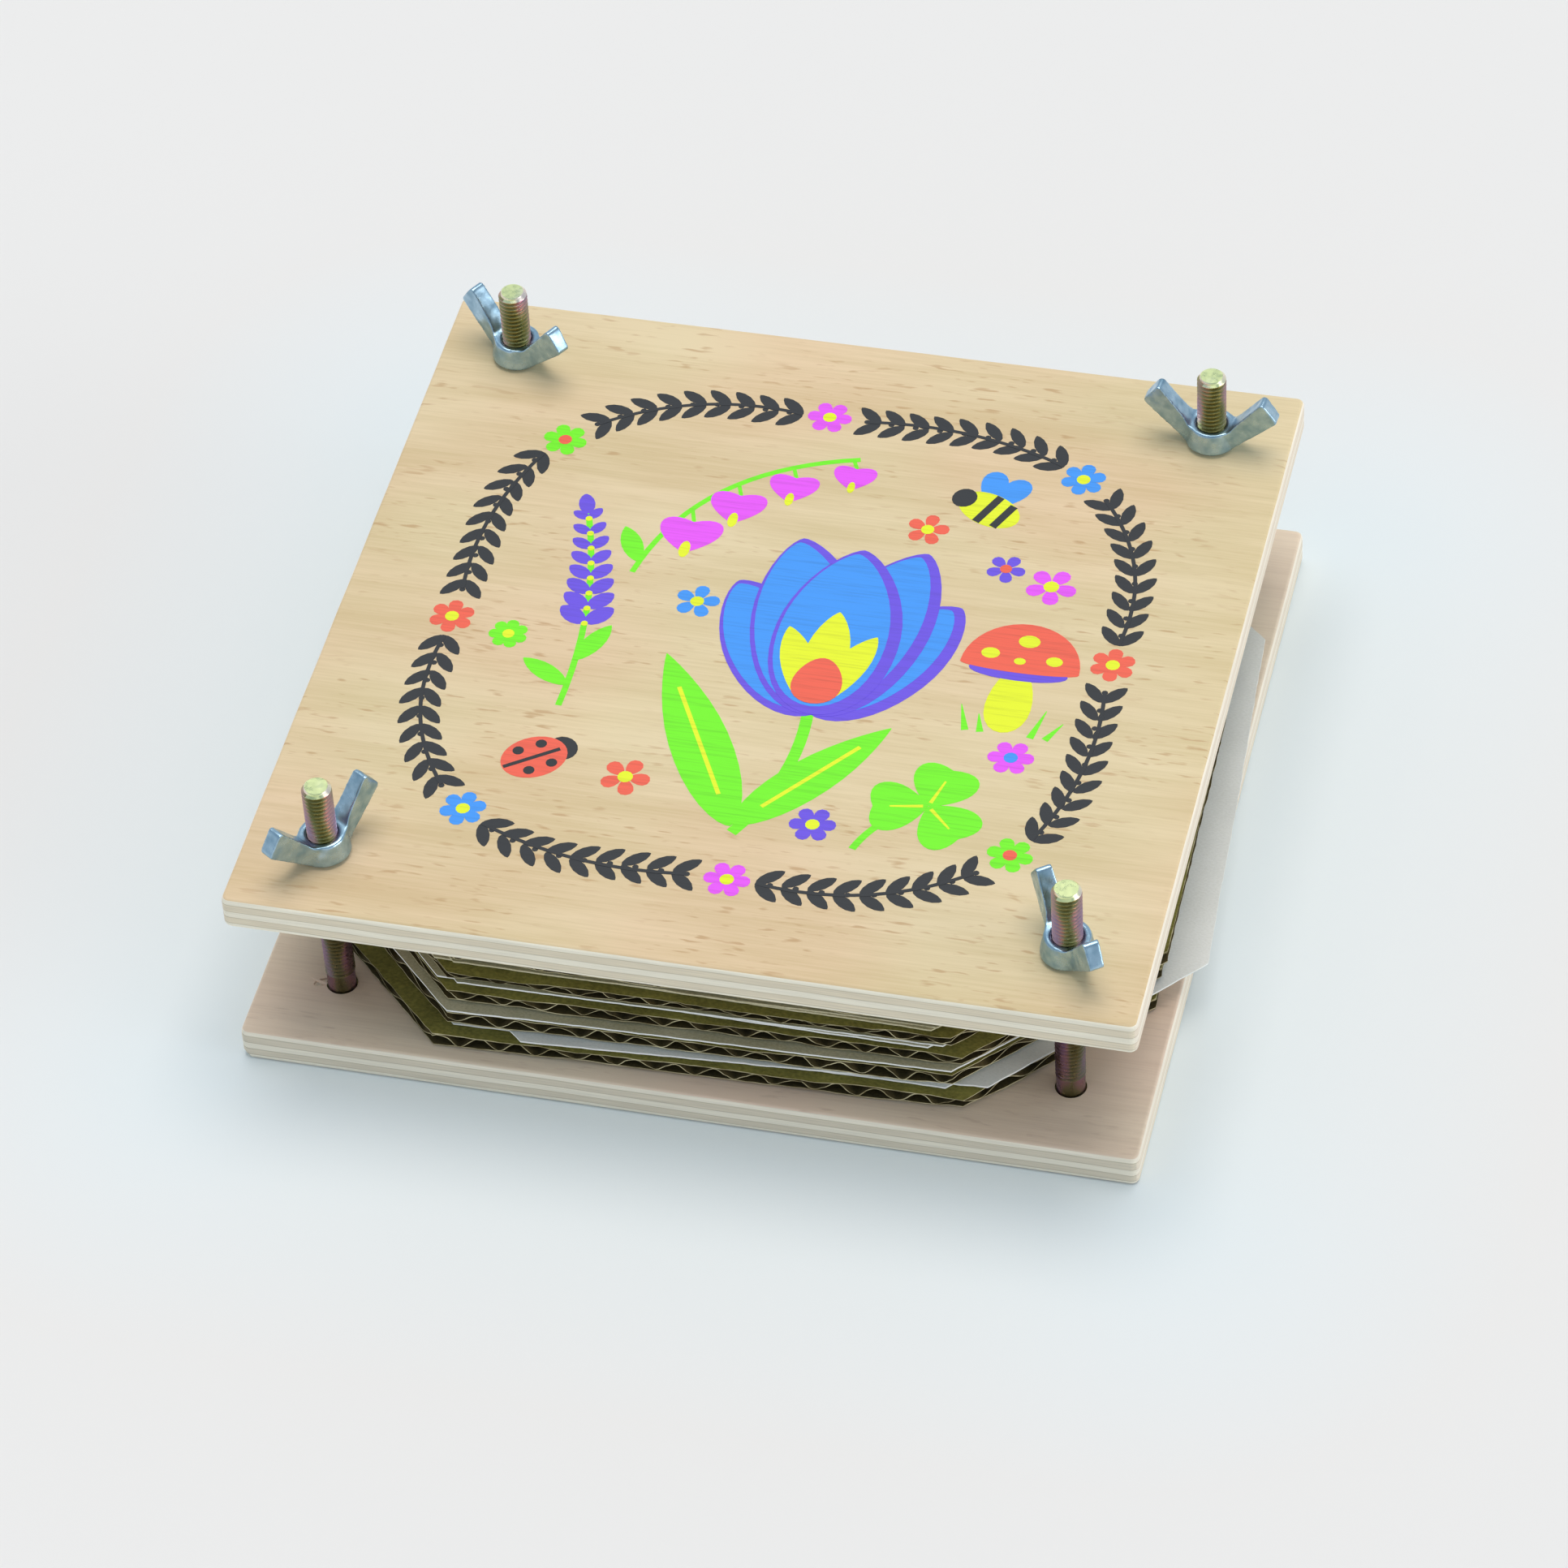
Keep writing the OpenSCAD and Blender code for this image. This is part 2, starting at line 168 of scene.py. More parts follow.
def add_node(material, kind, inputs=(), stops=(), **settings):
    """Adds a shader node. inputs are values, or what feeds them: a socket, or a node for its first output.
    stops are a ramp's."""
    made = material.node_tree.nodes.new("ShaderNode" + kind)
    for name, value in settings.items():
        setattr(made, name, value)
    for name, value in dict(inputs).items():
        if isinstance(value, bpy.types.Node):
            value = value.outputs[0]
        if isinstance(value, bpy.types.NodeSocket):
            material.node_tree.links.new(value, made.inputs[name])
        else:
            made.inputs[name].default_value = value
    if stops:
        ramp = made.color_ramp
        while len(ramp.elements) < len(stops):
            ramp.elements.new(1)
        for element, (place, colour) in zip(ramp.elements, stops):
            element.position = place
            element.color = colour
    return made


def new_material(name):
    """A material with no nodes yet."""
    material = bpy.data.materials.new(name)
    material.use_nodes = True
    material.node_tree.nodes.clear()
    return material


def finish(material, shader):
    """Sends a shader to the material's output."""
    add_node(material, "OutputMaterial", {"Surface": shader})
    return material


def stretched(material, size_mm, **settings):
    """Noise on Object coordinates whose grains are size_mm long, wide and deep."""
    place = add_node(material, "TexCoord").outputs["Object"]
    scale = [1 / (s * MM) for s in size_mm]
    mapped = add_node(material, "Mapping", {"Vector": place, "Scale": scale})
    return add_node(material, "TexNoise", {"Vector": mapped, "Scale": 1.0, **settings})


def birch_face(name, light, dark, fleck):
    """Rotary-cut birch veneer, sanded and bare: pale and dull, with cloudy grain and short pith flecks."""
    material = new_material(name)
    clouds = stretched(material, (70, 26, 22), Detail=2)
    bands = stretched(material, (80, 6, 14), Detail=3, Distortion=0.5)
    fibres = stretched(material, FIBRE_MM, Detail=3)
    dashes = stretched(material, (5, 1.0, 2), Detail=1)
    patches = stretched(material, (30, 16, 13), Detail=1)
    hues = stretched(material, (60, 45, 30), Detail=1)
    broad = add_node(material, "Mix", {"A": clouds, "B": bands, "Factor": 0.45}, data_type="FLOAT")
    grain = add_node(material, "Mix", {"A": broad, "B": fibres, "Factor": 0.28}, data_type="FLOAT")
    plain = add_node(material, "ValToRGB", {"Fac": grain}, [(0.40, linear(dark)), (0.60, linear(light))])
    rosy = add_node(material, "ValToRGB", {"Fac": hues},
                    [(0.38, linear("#FEFFF8")), (0.62, linear("#FFF7F2"))])
    tone = add_node(material, "VectorMath", {0: plain, 1: rosy}, operation="MULTIPLY")
    mark = add_node(material, "MapRange", {
        "Value": dashes, "From Min": 0.62, "From Max": 0.74, "To Min": 0.0, "To Max": 0.52,
    })
    where = add_node(material, "MapRange", {
        "Value": patches, "From Min": 0.42, "From Max": 0.58, "To Min": 0.12, "To Max": 1.0,
    })
    amount = add_node(material, "Math", {0: mark, 1: where}, operation="MULTIPLY")
    colour = add_node(material, "Mix", {"Factor": amount, "A": tone, "B": linear(fleck)}, data_type="RGBA")
    relief = add_node(material, "Bump", {"Height": fibres, "Strength": 0.2, "Distance": 0.04 * MM})
    shader = add_node(material, "BsdfPrincipled", {
        "Base Color": colour.outputs["Result"], "Roughness": 0.68, "Normal": relief,
    })
    return finish(material, shader)


def birch_edge(name, bottom, thickness, along, tones):
    """Sawn edge of birch plywood: pale plies that run along the edge, duller ones cut across their grain."""
    material = new_material(name)
    long_ply, cross_ply, glue = (linear(t) for t in tones)
    place = add_node(material, "TexCoord").outputs["Object"]
    height = add_node(material, "SeparateXYZ", {0: place})
    rise = add_node(material, "MapRange", {
        "Value": height.outputs["Z"], "From Min": bottom, "From Max": bottom + thickness,
    })
    waver = stretched(material, (40, 40, 9), Detail=2)
    lifted = add_node(material, "MapRange", {
        "Value": waver, "From Min": 0.3, "From Max": 0.7, "To Min": -0.03, "To Max": 0.03,
    })
    level = add_node(material, "Math", {0: rise, 1: lifted}, operation="ADD")
    stops = [(0, long_ply)]
    plies = [cross_ply, long_ply, cross_ply, long_ply]
    for share, ply in zip(PLY_SHARES, plies):
        stops += [(share - GLUE_SHARE, stops[-1][1]), (share, glue), (share + GLUE_SHARE, ply)]
    layers = add_node(material, "ValToRGB", {"Fac": level}, stops)
    streak_mm = (14, 0.5, 0.3) if along == "X" else (0.5, 14, 0.3)
    streaks = stretched(material, streak_mm, Detail=3)
    shade = add_node(material, "MapRange", {
        "Value": streaks, "From Min": 0.3, "From Max": 0.7, "To Min": 0.88, "To Max": 1.05,
    })
    colour = add_node(material, "VectorMath", {0: layers, "Scale": shade}, operation="SCALE")
    relief = add_node(material, "Bump", {"Height": streaks, "Strength": 0.35, "Distance": 0.07 * MM})
    shader = add_node(material, "BsdfPrincipled", {
        "Base Color": colour, "Roughness": 0.8, "Normal": relief,
    })
    return finish(material, shader)


def bright_zinc(name):
    """Forged steel with clear blue zinc plating: blue-grey, half dull, cloudy from the forging."""
    material = new_material(name)
    cloud = stretched(material, (2.6, 2.6, 2.6), Detail=3)
    grit = stretched(material, (0.35, 0.35, 0.35), Detail=2)
    tone = add_node(material, "ValToRGB", {"Fac": cloud},
                    [(0.34, linear("#8AABC0")), (0.66, linear("#B0CCDE"))])
    dull = add_node(material, "MapRange", {
        "Value": cloud, "From Min": 0.3, "From Max": 0.7, "To Min": 0.38, "To Max": 0.24,
    })
    relief = add_node(material, "Bump", {"Height": grit, "Strength": 0.3, "Distance": 0.04 * MM})
    shader = add_node(material, "BsdfPrincipled", {
        "Base Color": tone, "Metallic": 1.0, "Roughness": dull, "Normal": relief,
    })
    return finish(material, shader)


def yellow_zinc(name, tones):
    """Rolled steel with yellow chromate over zinc: a gold film with a painted rosy sheen on two flanks and
    painted shade low down, between the boards.
    """
    material = new_material(name)
    film = stretched(material, (5, 5, 12), Detail=1)
    # Painted sheen and reflection: rosy tones on the flanks seen edge-on from the camera, olive ones where
    # the bolt faces it
    facing = add_node(material, "TexCoord").outputs["Normal"]
    painted_sheen_side = add_node(material, "VectorMath", {0: facing, 1: PAINTED_SHEEN_FLANK}, operation="DOT_PRODUCT")
    either = add_node(material, "Math", {0: painted_sheen_side.outputs["Value"]}, operation="ABSOLUTE")
    level = add_node(material, "Math", {0: either, 1: PAINTED_SHEEN_SHARE, 2: film}, operation="MULTIPLY_ADD")
    stops = [(place, linear(tone)) for place, tone in zip(FILM_STOPS, tones)]
    tone = add_node(material, "ValToRGB", {"Fac": level}, stops)
    place = add_node(material, "TexCoord").outputs["Object"]
    height = add_node(material, "SeparateXYZ", {0: place})
    rise = add_node(material, "MapRange", {
        "Value": height.outputs["Z"], "From Min": PAINTED_SHADE_BELOW, "From Max": PAINTED_SHADE_BELOW + PAINTED_SHADE_FADE,
    })
    # Painted shade: darker and purpler low down, between the boards
    painted_shade_tint = add_node(material, "ValToRGB", {"Fac": rise}, [(0, linear("#C0C0DC")), (1, linear("#FFFFFF"))])
    film_and_painted_light = add_node(material, "VectorMath", {0: tone, 1: painted_shade_tint}, operation="MULTIPLY")
    wear = stretched(material, (1, 1, 1), Detail=2)
    gloss = add_node(material, "MapRange", {
        "Value": wear, "From Min": 0.3, "From Max": 0.7, "To Min": 0.24, "To Max": 0.38,
    })
    shader = add_node(material, "BsdfPrincipled", {
        "Base Color": film_and_painted_light, "Metallic": 1.0, "Roughness": gloss,
    })
    return finish(material, shader)


def fibrous(name, light, dark, fibre_mm, relief_mm):
    """Unsized paper or kraft board: dull, with short fibres felted every way."""
    material = new_material(name)
    cloud = stretched(material, (12, 12, 12), Detail=3)
    fibres = stretched(material, (fibre_mm, fibre_mm * 0.6, fibre_mm * 0.6), Detail=4)
    felt = add_node(material, "Mix", {"A": cloud, "B": fibres, "Factor": 0.6}, data_type="FLOAT")
    tone = add_node(material, "ValToRGB", {"Fac": felt}, [(0.36, linear(dark)), (0.62, linear(light))])
    relief = add_node(material, "Bump", {"Height": fibres, "Strength": 0.4, "Distance": relief_mm * MM})
    shader = add_node(material, "BsdfPrincipled", {"Base Color": tone, "Roughness": 0.9, "Normal": relief})
    return finish(material, shader)


def screen_ink(name, hex_colour):
    """Screen ink on sanded veneer: an even satin film that lets the wood's fibres show in its gloss."""
    material = new_material(name)
    fibres = stretched(material, FIBRE_MM, Detail=3)
    deep = tuple(c * 0.84 for c in linear(hex_colour)[:3]) + (1.0,)
    tone = add_node(material, "ValToRGB", {"Fac": fibres}, [(0.30, deep), (0.52, linear(hex_colour))])
    relief = add_node(material, "Bump", {"Height": fibres, "Strength": 0.2, "Distance": 0.03 * MM})
    shader = add_node(material, "BsdfPrincipled", {"Base Color": tone, "Roughness": 0.5, "Normal": relief})
    return finish(material, shader)


def pale_floor(name):
    """Matt seamless paper: pale and neutral, with a painted cool shadow round where the press stands."""
    material = new_material(name)
    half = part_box("bottom_board")[1].x
    place = add_node(material, "TexCoord").outputs["Object"]
    mirrored = add_node(material, "VectorMath", {0: place}, operation="ABSOLUTE")
    outside = add_node(material, "VectorMath", {0: mirrored, 1: (half, half, 0)}, operation="SUBTRACT")
    beyond = add_node(material, "VectorMath", {0: outside, 1: (0, 0, 0)}, operation="MAXIMUM")
    away = add_node(material, "VectorMath", {0: beyond}, operation="LENGTH")
    share = add_node(material, "MapRange", {"Value": away.outputs["Value"], "From Max": SHADOW_TINT_REACH})
    # Painted shadow: cool bluish grey by the press's footprint, fading to a warm neutral at the reach
    tone = add_node(material, "ValToRGB", {"Fac": share},
                    [(0.1, linear("#E8F0F3")), (0.5, linear("#EDEFEF")), (1, linear("#F0ECE9"))])
    shader = add_node(material, "BsdfDiffuse", {"Color": tone})
    return finish(material, shader)


def put_in_scene(name, data):
    """Object of a mesh, a lamp or a camera, in the scene."""
    made = bpy.data.objects.new(name, data)
    bpy.context.scene.collection.objects.link(made)
    return made


def mesh_of(bm, name):
    """Turns a bmesh into a mesh."""
    mesh = bpy.data.meshes.new(name)
    bm.to_mesh(mesh)
    bm.free()
    return mesh


def smooth_shade(mesh, crease):
    """Shades a mesh smooth between the edges that turn by more than crease."""
    mesh.shade_smooth()
    mesh.set_sharp_from_angle(angle=crease)


def as_piece(bm, name, body, materials, node=None, crease=CREASE):
    """Turns a bmesh into a piece of a body that takes its finish from a slot and may stand for a CAD node."""
    bmesh.ops.recalc_face_normals(bm, faces=bm.faces)
    mesh = mesh_of(bm, name)
    smooth_shade(mesh, crease)
    for material in materials:
        mesh.materials.append(material)
    piece = put_in_scene(name, mesh)
    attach(piece, body)
    if node:
        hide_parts(node)
    return piece


def apply_modifier(piece, kind, **settings):
    """Runs one modifier and keeps its result as the piece's mesh."""
    modifier = piece.modifiers.new(kind.lower(), kind)
    for name, value in settings.items():
        setattr(modifier, name, value)
    shape = piece.evaluated_get(bpy.context.evaluated_depsgraph_get())
    result = bpy.data.meshes.new_from_object(shape)
    piece.modifiers.clear()
    piece.data = result


def merge_into(bm, part):
    """Adds the faces of one bmesh to another."""
    carrier = mesh_of(part, "carrier")
    bm.from_mesh(carrier)
    bpy.data.meshes.remove(carrier)


def wander(place, grain, seed):
    """Smooth noise from about -1 to 1 with features of size grain."""
    return noise.noise(place / grain + Vector([seed * step for step in SEED_STEPS])) * NOISE_GAIN


def everything(bm):
    """All the geometry of a bmesh, as an operator takes it."""
    return bm.verts[:] + bm.edges[:] + bm.faces[:]


def look_at_press():
    """Camera at the photograph's angle and distance."""
    back = Vector((
        math.sin(AZIMUTH) * math.cos(ELEVATION),
        -math.cos(AZIMUTH) * math.cos(ELEVATION),
        math.sin(ELEVATION),
    ))
    right = Vector((math.cos(AZIMUTH), math.sin(AZIMUTH), 0))
    up = back.cross(right)
    level = Matrix((right, up, back)).transposed()
    data = bpy.data.cameras.new("camera")
    data.lens = LENS_MM
    data.sensor_width = SENSOR_MM
    data.clip_end = CLIP_END
    camera = put_in_scene("camera", data)
    camera.matrix_world = (
        Matrix.Translation(AIM + back * DISTANCE) @ level.to_4x4() @ Matrix.Rotation(ROLL, 4, "Z")
    )
    bpy.context.scene.camera = camera


def hang_lamp(name, shines_from, strength, spread, colour):
    """A far lamp whose light comes from one direction, spread over a wide angle."""
    data = bpy.data.lights.new(name, "SUN")
    data.energy = strength
    data.angle = spread
    data.color = colour
    lamp = put_in_scene(name, data)
    lamp.rotation_euler = shines_from.to_track_quat("Z", "Y").to_euler()


def light_press():
    """Two wide lamps and a cool sky that is palest low down and behind the press."""
    hang_lamp("key", KEY_FROM, KEY_STRENGTH, KEY_SPREAD, KEY_COLOUR)
    hang_lamp("side", SIDE_FROM, SIDE_STRENGTH, SIDE_SPREAD, SIDE_COLOUR)
    world = bpy.data.worlds.new("sky")
    bpy.context.scene.world = world
    world.use_nodes = True
    world.node_tree.nodes.clear()
    direction = add_node(world, "TexCoord").outputs["Generated"]
    height = add_node(world, "SeparateXYZ", {0: direction})
    tone = add_node(world, "ValToRGB", {"Fac": height.outputs["Z"]},
                    [(0.0, linear("#F6FBFF")), (0.35, linear("#CEDDEA")), (1.0, linear("#93A9BA"))])
    behind = Vector((-math.sin(AZIMUTH), math.cos(AZIMUTH), 0))
    toward = add_node(world, "VectorMath", {0: direction, 1: behind}, operation="DOT_PRODUCT")
    side = add_node(world, "MapRange", {
        "Value": toward.outputs["Value"], "From Min": -1.0, "From Max": 1.0, "To Min": 0.92, "To Max": 1.1,
    })
    shade = add_node(world, "VectorMath", {0: tone, "Scale": side}, operation="SCALE")
    sky = add_node(world, "Background", {"Color": shade, "Strength": SKY_STRENGTH})
    add_node(world, "OutputWorld", {"Surface": sky})


def lay_floor():
    """The pale floor that the press stands on."""
    bm = bmesh.new()
    bmesh.ops.create_grid(bm, x_segments=1, y_segments=1, size=FLOOR_REACH)
    mesh = mesh_of(bm, "floor")
    mesh.materials.append(pale_floor("seamless_paper"))
    floor = put_in_scene("floor", mesh)


def wear_arris(bm, low, high, seed):
    """Rubs the rounded arrises back unevenly."""
    for vert in bm.verts:
        over = max(low.x + ARRIS_R - vert.co.x, vert.co.x - high.x + ARRIS_R,
                   low.y + ARRIS_R - vert.co.y, vert.co.y - high.y + ARRIS_R)
        near = min(vert.co.z - low.z, high.z - vert.co.z)
        if over > 0 and near < ARRIS_R:
            bite = WEAR_MEAN + WEAR_VARY * wander(vert.co, WEAR_GRAIN, seed)
            inward = Vector((-vert.co.x, -vert.co.y, 0)).normalized()
            vert.co += inward * max(0.0, bite) * ARRIS_WEAR


def round_over(bm, edges, radius, segments):
    """Rounds edges to a radius."""
    bmesh.ops.bevel(bm, geom=edges, offset=radius, offset_type="OFFSET", segments=segments, profile=0.5,
                    affect="EDGES", material=-1)


def block(size, middle, radius, segments):
    """Block with round upright edges."""
    bm = bmesh.new()
    bmesh.ops.create_cube(bm, size=1)
    bmesh.ops.scale(bm, vec=size, verts=bm.verts)
    bmesh.ops.translate(bm, vec=middle, verts=bm.verts)
    upright = [e for e in bm.edges if abs(e.verts[0].co.z - e.verts[1].co.z) > MM]
    round_over(bm, upright, radius, segments)
    return bm


def board_blank(low, high, seed):
    """Plywood square with round corners, eased and worn arrises, and a line at every glue joint."""
    bm = block(high - low, (low + high) / 2, CORNER_R, ROUND_SEGMENTS)
    long_edges = [e for e in bm.edges if e.calc_length() > LONG_EDGE]
    bmesh.ops.subdivide_edges(bm, edges=long_edges, cuts=round((high.x - low.x) / EDGE_STEP))
    rims = [e for e in bm.edges if abs(e.verts[0].co.z - e.verts[1].co.z) < ARRIS_R
            and e.is_manifold and e.calc_face_angle() > ARRIS_TURN]
    round_over(bm, rims, ARRIS_R, ROUND_SEGMENTS)
    for share in PLY_SHARES:
        bmesh.ops.bisect_plane(bm, geom=everything(bm), dist=CLOSE, plane_co=low.lerp(high, share),
                               plane_no=(0, 0, 1))
    wear_arris(bm, low, high, seed)
    return bm


def bolt_reach():
    """Distance of the bolt axes from the press's middle, along either side."""
    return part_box("bottom_board")[1].x - BOLT_INSET


def corners():
    """The four bolt axes, front left first."""
    reach = bolt_reach()
    return {
        "front_left": Vector((-reach, -reach, 0)),
        "front_right": Vector((reach, -reach, 0)),
        "back_left": Vector((-reach, reach, 0)),
        "back_right": Vector((reach, reach, 0)),
    }


def cutter(seats, chips):
    """Throwaway tool for seats (radius, sides, bottom, top) at every bolt, and for chips (place, size)."""
    bm = bmesh.new()
    for radius, sides, bottom, top in seats:
        for axis in corners().values():
            turn = Matrix.Rotation(math.radians(45) if sides == NECK_SIDES else 0, 4, "Z")
            place = Matrix.Translation(axis + Vector((0, 0, (bottom + top) / 2))) @ turn
            bmesh.ops.create_cone(bm, cap_ends=True, segments=sides, radius1=radius, radius2=radius,
                                  depth=top - bottom, matrix=place)
    for place, size in chips:
        turn = Matrix.Rotation(CHIP_TURN, 4, "Z")
        shape = Matrix.Translation(place) @ turn @ Matrix.Diagonal(size).to_4x4()
        bmesh.ops.create_icosphere(bm, subdivisions=1, radius=1, matrix=shape)
    return put_in_scene("cutter", mesh_of(bm, "cutter"))


def dress_board(piece, low, high):
    """Gives the two faces the veneer and the rest the material of the edge that each face is part of."""
    skin = VENEER_SHARE * ARRIS_R
    for polygon in piece.data.polygons:
        if polygon.center.z > high.z - skin or polygon.center.z < low.z + skin:
            polygon.material_index = 0
        else:
            polygon.material_index = 1 if abs(polygon.normal.y) > abs(polygon.normal.x) else 2
    smooth_shade(piece.data, CREASE)


def plywood_board(node, body, seats, chips, face, edge_tones, seed):
    """One board of the press, with the holes that its bolts need."""
    low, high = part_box(node)
    thickness = high.z - low.z
    materials = [
        face,
        birch_edge(node + "_edge_front", low.z, thickness, "X", edge_tones),
        birch_edge(node + "_edge_side", low.z, thickness, "Y", SIDE_TONES),
    ]
    piece = as_piece(board_blank(low, high, seed), node + "_plywood", body, materials, node)
    tool = cutter(seats, chips)
    apply_modifier(piece, "BOOLEAN", object=tool, solver="EXACT", operation="DIFFERENCE", use_self=True)
    bpy.data.objects.remove(tool)
    dress_board(piece, low, high)
    return piece


def splinter(axis, board_top, material):
    """Sliver of veneer that the drill tore up beside the front left bolt."""
    bm = bmesh.new()
    bmesh.ops.create_cone(bm, cap_ends=True, segments=SLIVER_SIDES, radius1=SLIVER_ROOT_R,
                          radius2=SLIVER_TIP_R, depth=SLIVER_LEN)
    bmesh.ops.scale(bm, vec=(1, SLIVER_FLAT, 1), verts=bm.verts)
    lean = Matrix.Rotation(SLIVER_LEAN, 4, "Y")
    place = Matrix.Translation(axis + Vector((SLIVER_X, SLIVER_Y, board_top + SLIVER_RISE)))
    bmesh.ops.transform(bm, matrix=place @ lean, verts=bm.verts)
    return as_piece(bm, "bottom_board_splinter", "base", [material])


def draw_line(bm, points):
    """Verts at some points, and the edges that join each to the next."""
    verts = [bm.verts.new(point) for point in points]
    return verts, [bm.edges.new(pair) for pair in zip(verts, verts[1:])]


def thread_length(axis, bottom, top):
    """Rolled thread between two heights: one pitch of the profile, spun up the bolt as a right-hand helix."""
    bm = bmesh.new()
    turns = math.ceil((top - bottom) / THREAD_PITCH) + 2
    start = bottom - THREAD_PITCH
    radii = (THREAD_ROOT_R, BOLT_R, BOLT_R, THREAD_ROOT_R, THREAD_ROOT_R)
    profile = [(r, 0, start + share * THREAD_PITCH) for r, share in zip(radii, THREAD_SHARES)]
    verts, edges = draw_line(bm, profile)
    bmesh.ops.spin(bm, geom=verts + edges, cent=(0, 0, 0), axis=(0, 0, 1),
                   dvec=(0, 0, THREAD_PITCH / THREAD_STEPS), angle=math.tau * turns,
                   steps=THREAD_STEPS * turns, use_merge=False, use_duplicate=False)
    bmesh.ops.remove_doubles(bm, verts=bm.verts, dist=CLOSE)
    for height, normal in ((bottom, -1), (top, 1)):
        bmesh.ops.bisect_plane(bm, geom=everything(bm), dist=TINY, plane_co=(0, 0, height),
                               plane_no=(0, 0, normal), clear_outer=True)
        rim = [e for e in bm.edges if e.is_boundary and all(abs(v.co.z - height) < CLOSE for v in e.verts)]
        bmesh.ops.edgeloop_fill(bm, edges=rim)
    for vert in bm.verts:
        over = vert.co.z - (top - TIP_CHAMFER)
        radius = Vector((vert.co.x, vert.co.y, 0)).length
        limit = BOLT_R - over
        if over > 0 and radius > limit:
            vert.co.x *= limit / radius
            vert.co.y *= limit / radius
    bmesh.ops.translate(bm, vec=axis, verts=bm.verts)
    return bm


def lathe(outline, steps, place):
    """Closed solid of revolution from an outline that starts and ends on the axis."""
    bm = bmesh.new()
    verts, edges = draw_line(bm, [(r, 0, z) for r, z in outline])
    bmesh.ops.spin(bm, geom=verts + edges, cent=(0, 0, 0), axis=(0, 0, 1), dvec=(0, 0, 0),
                   angle=math.tau, steps=steps, use_merge=True, use_duplicate=False)
    bmesh.ops.remove_doubles(bm, verts=bm.verts, dist=TINY)
    bmesh.ops.translate(bm, vec=place, verts=bm.verts)
    return bm


def carriage_bolt(node, axis, plate, tip_painted_glare):
    """Carriage bolt, head down: domed head, square neck, a short plain shank and then thread to the tip,
    whose chamfer takes a paler film as a painted highlight.
    """
    low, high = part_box(node)
    seat = low.z + HEAD_H
    bm = bmesh.new()
    dome_h = HEAD_H - RIM_T
    dome_r = (HEAD_R ** 2 + dome_h ** 2) / (2 * dome_h)
    spread = math.asin(HEAD_R / dome_r)
    angles = [spread * i / DOME_STEPS for i in range(DOME_STEPS + 1)]
    arc = [(dome_r * math.sin(a), low.z + dome_r * (1 - math.cos(a))) for a in angles]
    merge_into(bm, lathe(arc + [(HEAD_R, seat), (0, seat)], HEAD_SIDES, axis))
    merge_into(bm, block((NECK_W, NECK_W, NECK_LEN + NECK_LAP), axis + Vector((0, 0, seat + NECK_LEN / 2)),
                         NECK_EDGE_R, NECK_SEGMENTS))
    plain_low = seat + NECK_LEN / 2
    plain_top = seat + NECK_LEN + PLAIN_LEN
    merge_into(bm, lathe([(0, plain_low), (PLAIN_R, plain_low), (PLAIN_R, plain_top - PLAIN_CHAMFER),
                          (THREAD_ROOT_R, plain_top), (0, plain_top)], SHANK_SIDES, axis))
    merge_into(bm, thread_length(axis, plain_top - THREAD_LAP, high.z))
    piece = as_piece(bm, node + "_threaded", "base", [plate, tip_painted_glare], node,
                     BOLT_CREASE)
    # Painted highlight: faces on the chamfered tip take the paler film
    for polygon in piece.data.polygons:
        polygon.material_index = int(polygon.center.z > high.z - TIP_CHAMFER)
    return piece


def wing_nut(node, axis, material):
    """Forged wing nut: the CAD shape with every edge softened and an uneven skin."""
    low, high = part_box(node)
    bm = bmesh.new()
    bm.from_mesh(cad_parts[node].data)
    bmesh.ops.remove_doubles(bm, verts=bm.verts, dist=TINY)
    piece = as_piece(bm, node + "_forged", node, [material], node)
    apply_modifier(piece, "REMESH", mode="VOXEL", voxel_size=VOXEL, use_smooth_shade=True)
    bm = bmesh.new()
    bm.from_mesh(piece.data)
    for _ in range(SMOOTH_PASSES):
        bmesh.ops.smooth_vert(bm, verts=bm.verts, factor=0.5, use_axis_x=True, use_axis_y=True,
                              use_axis_z=True)
    bm.normal_update()
    for vert in bm.verts:
        out = Vector((vert.co.x, vert.co.y, 0)) - axis
        if out.length > BOLT_R + SMOOTH_BORE and vert.co.z > low.z + SMOOTH_FOOT:
            vert.co += vert.normal * FORGED_SKIN * wander(vert.co, SKIN_GRAIN, SKIN_SEED)
    bm.to_mesh(piece.data)
    bm.free()
    piece.data.shade_smooth()
    return piece


def corner_cut(bolt_gap):
    """Distance from a sheet's middle at which its corners are cut, bolt_gap clear of the bolts."""
    return bolt_reach() * math.sqrt(2) - BOLT_R - bolt_gap


def cut_corners(bm, bolt_gap):
    """Cuts the four corners of whatever lies round the origin, clear of the bolts."""
    distance = corner_cut(bolt_gap)
    for sign_x in (-1, 1):
        for sign_y in (-1, 1):
            normal = Vector((sign_x, sign_y, 0)).normalized()
            cut = bmesh.ops.bisect_plane(bm, geom=everything(bm), dist=TINY, plane_co=normal * distance,
                                         plane_no=normal, clear_outer=True)
            rim = [e for e in cut["geom_cut"] if isinstance(e, bmesh.types.BMEdge) and e.is_boundary]
            if len(rim) > 2:
                bmesh.ops.holes_fill(bm, edges=rim, sides=0)


def raise_up(bm, faces, thickness):
    """Raises flat faces into a closed plate."""
    up = bmesh.ops.extrude_face_region(bm, geom=faces)
    raised = [v for v in up["geom"] if isinstance(v, bmesh.types.BMVert)]
    bmesh.ops.translate(bm, vec=(0, 0, thickness), verts=raised)


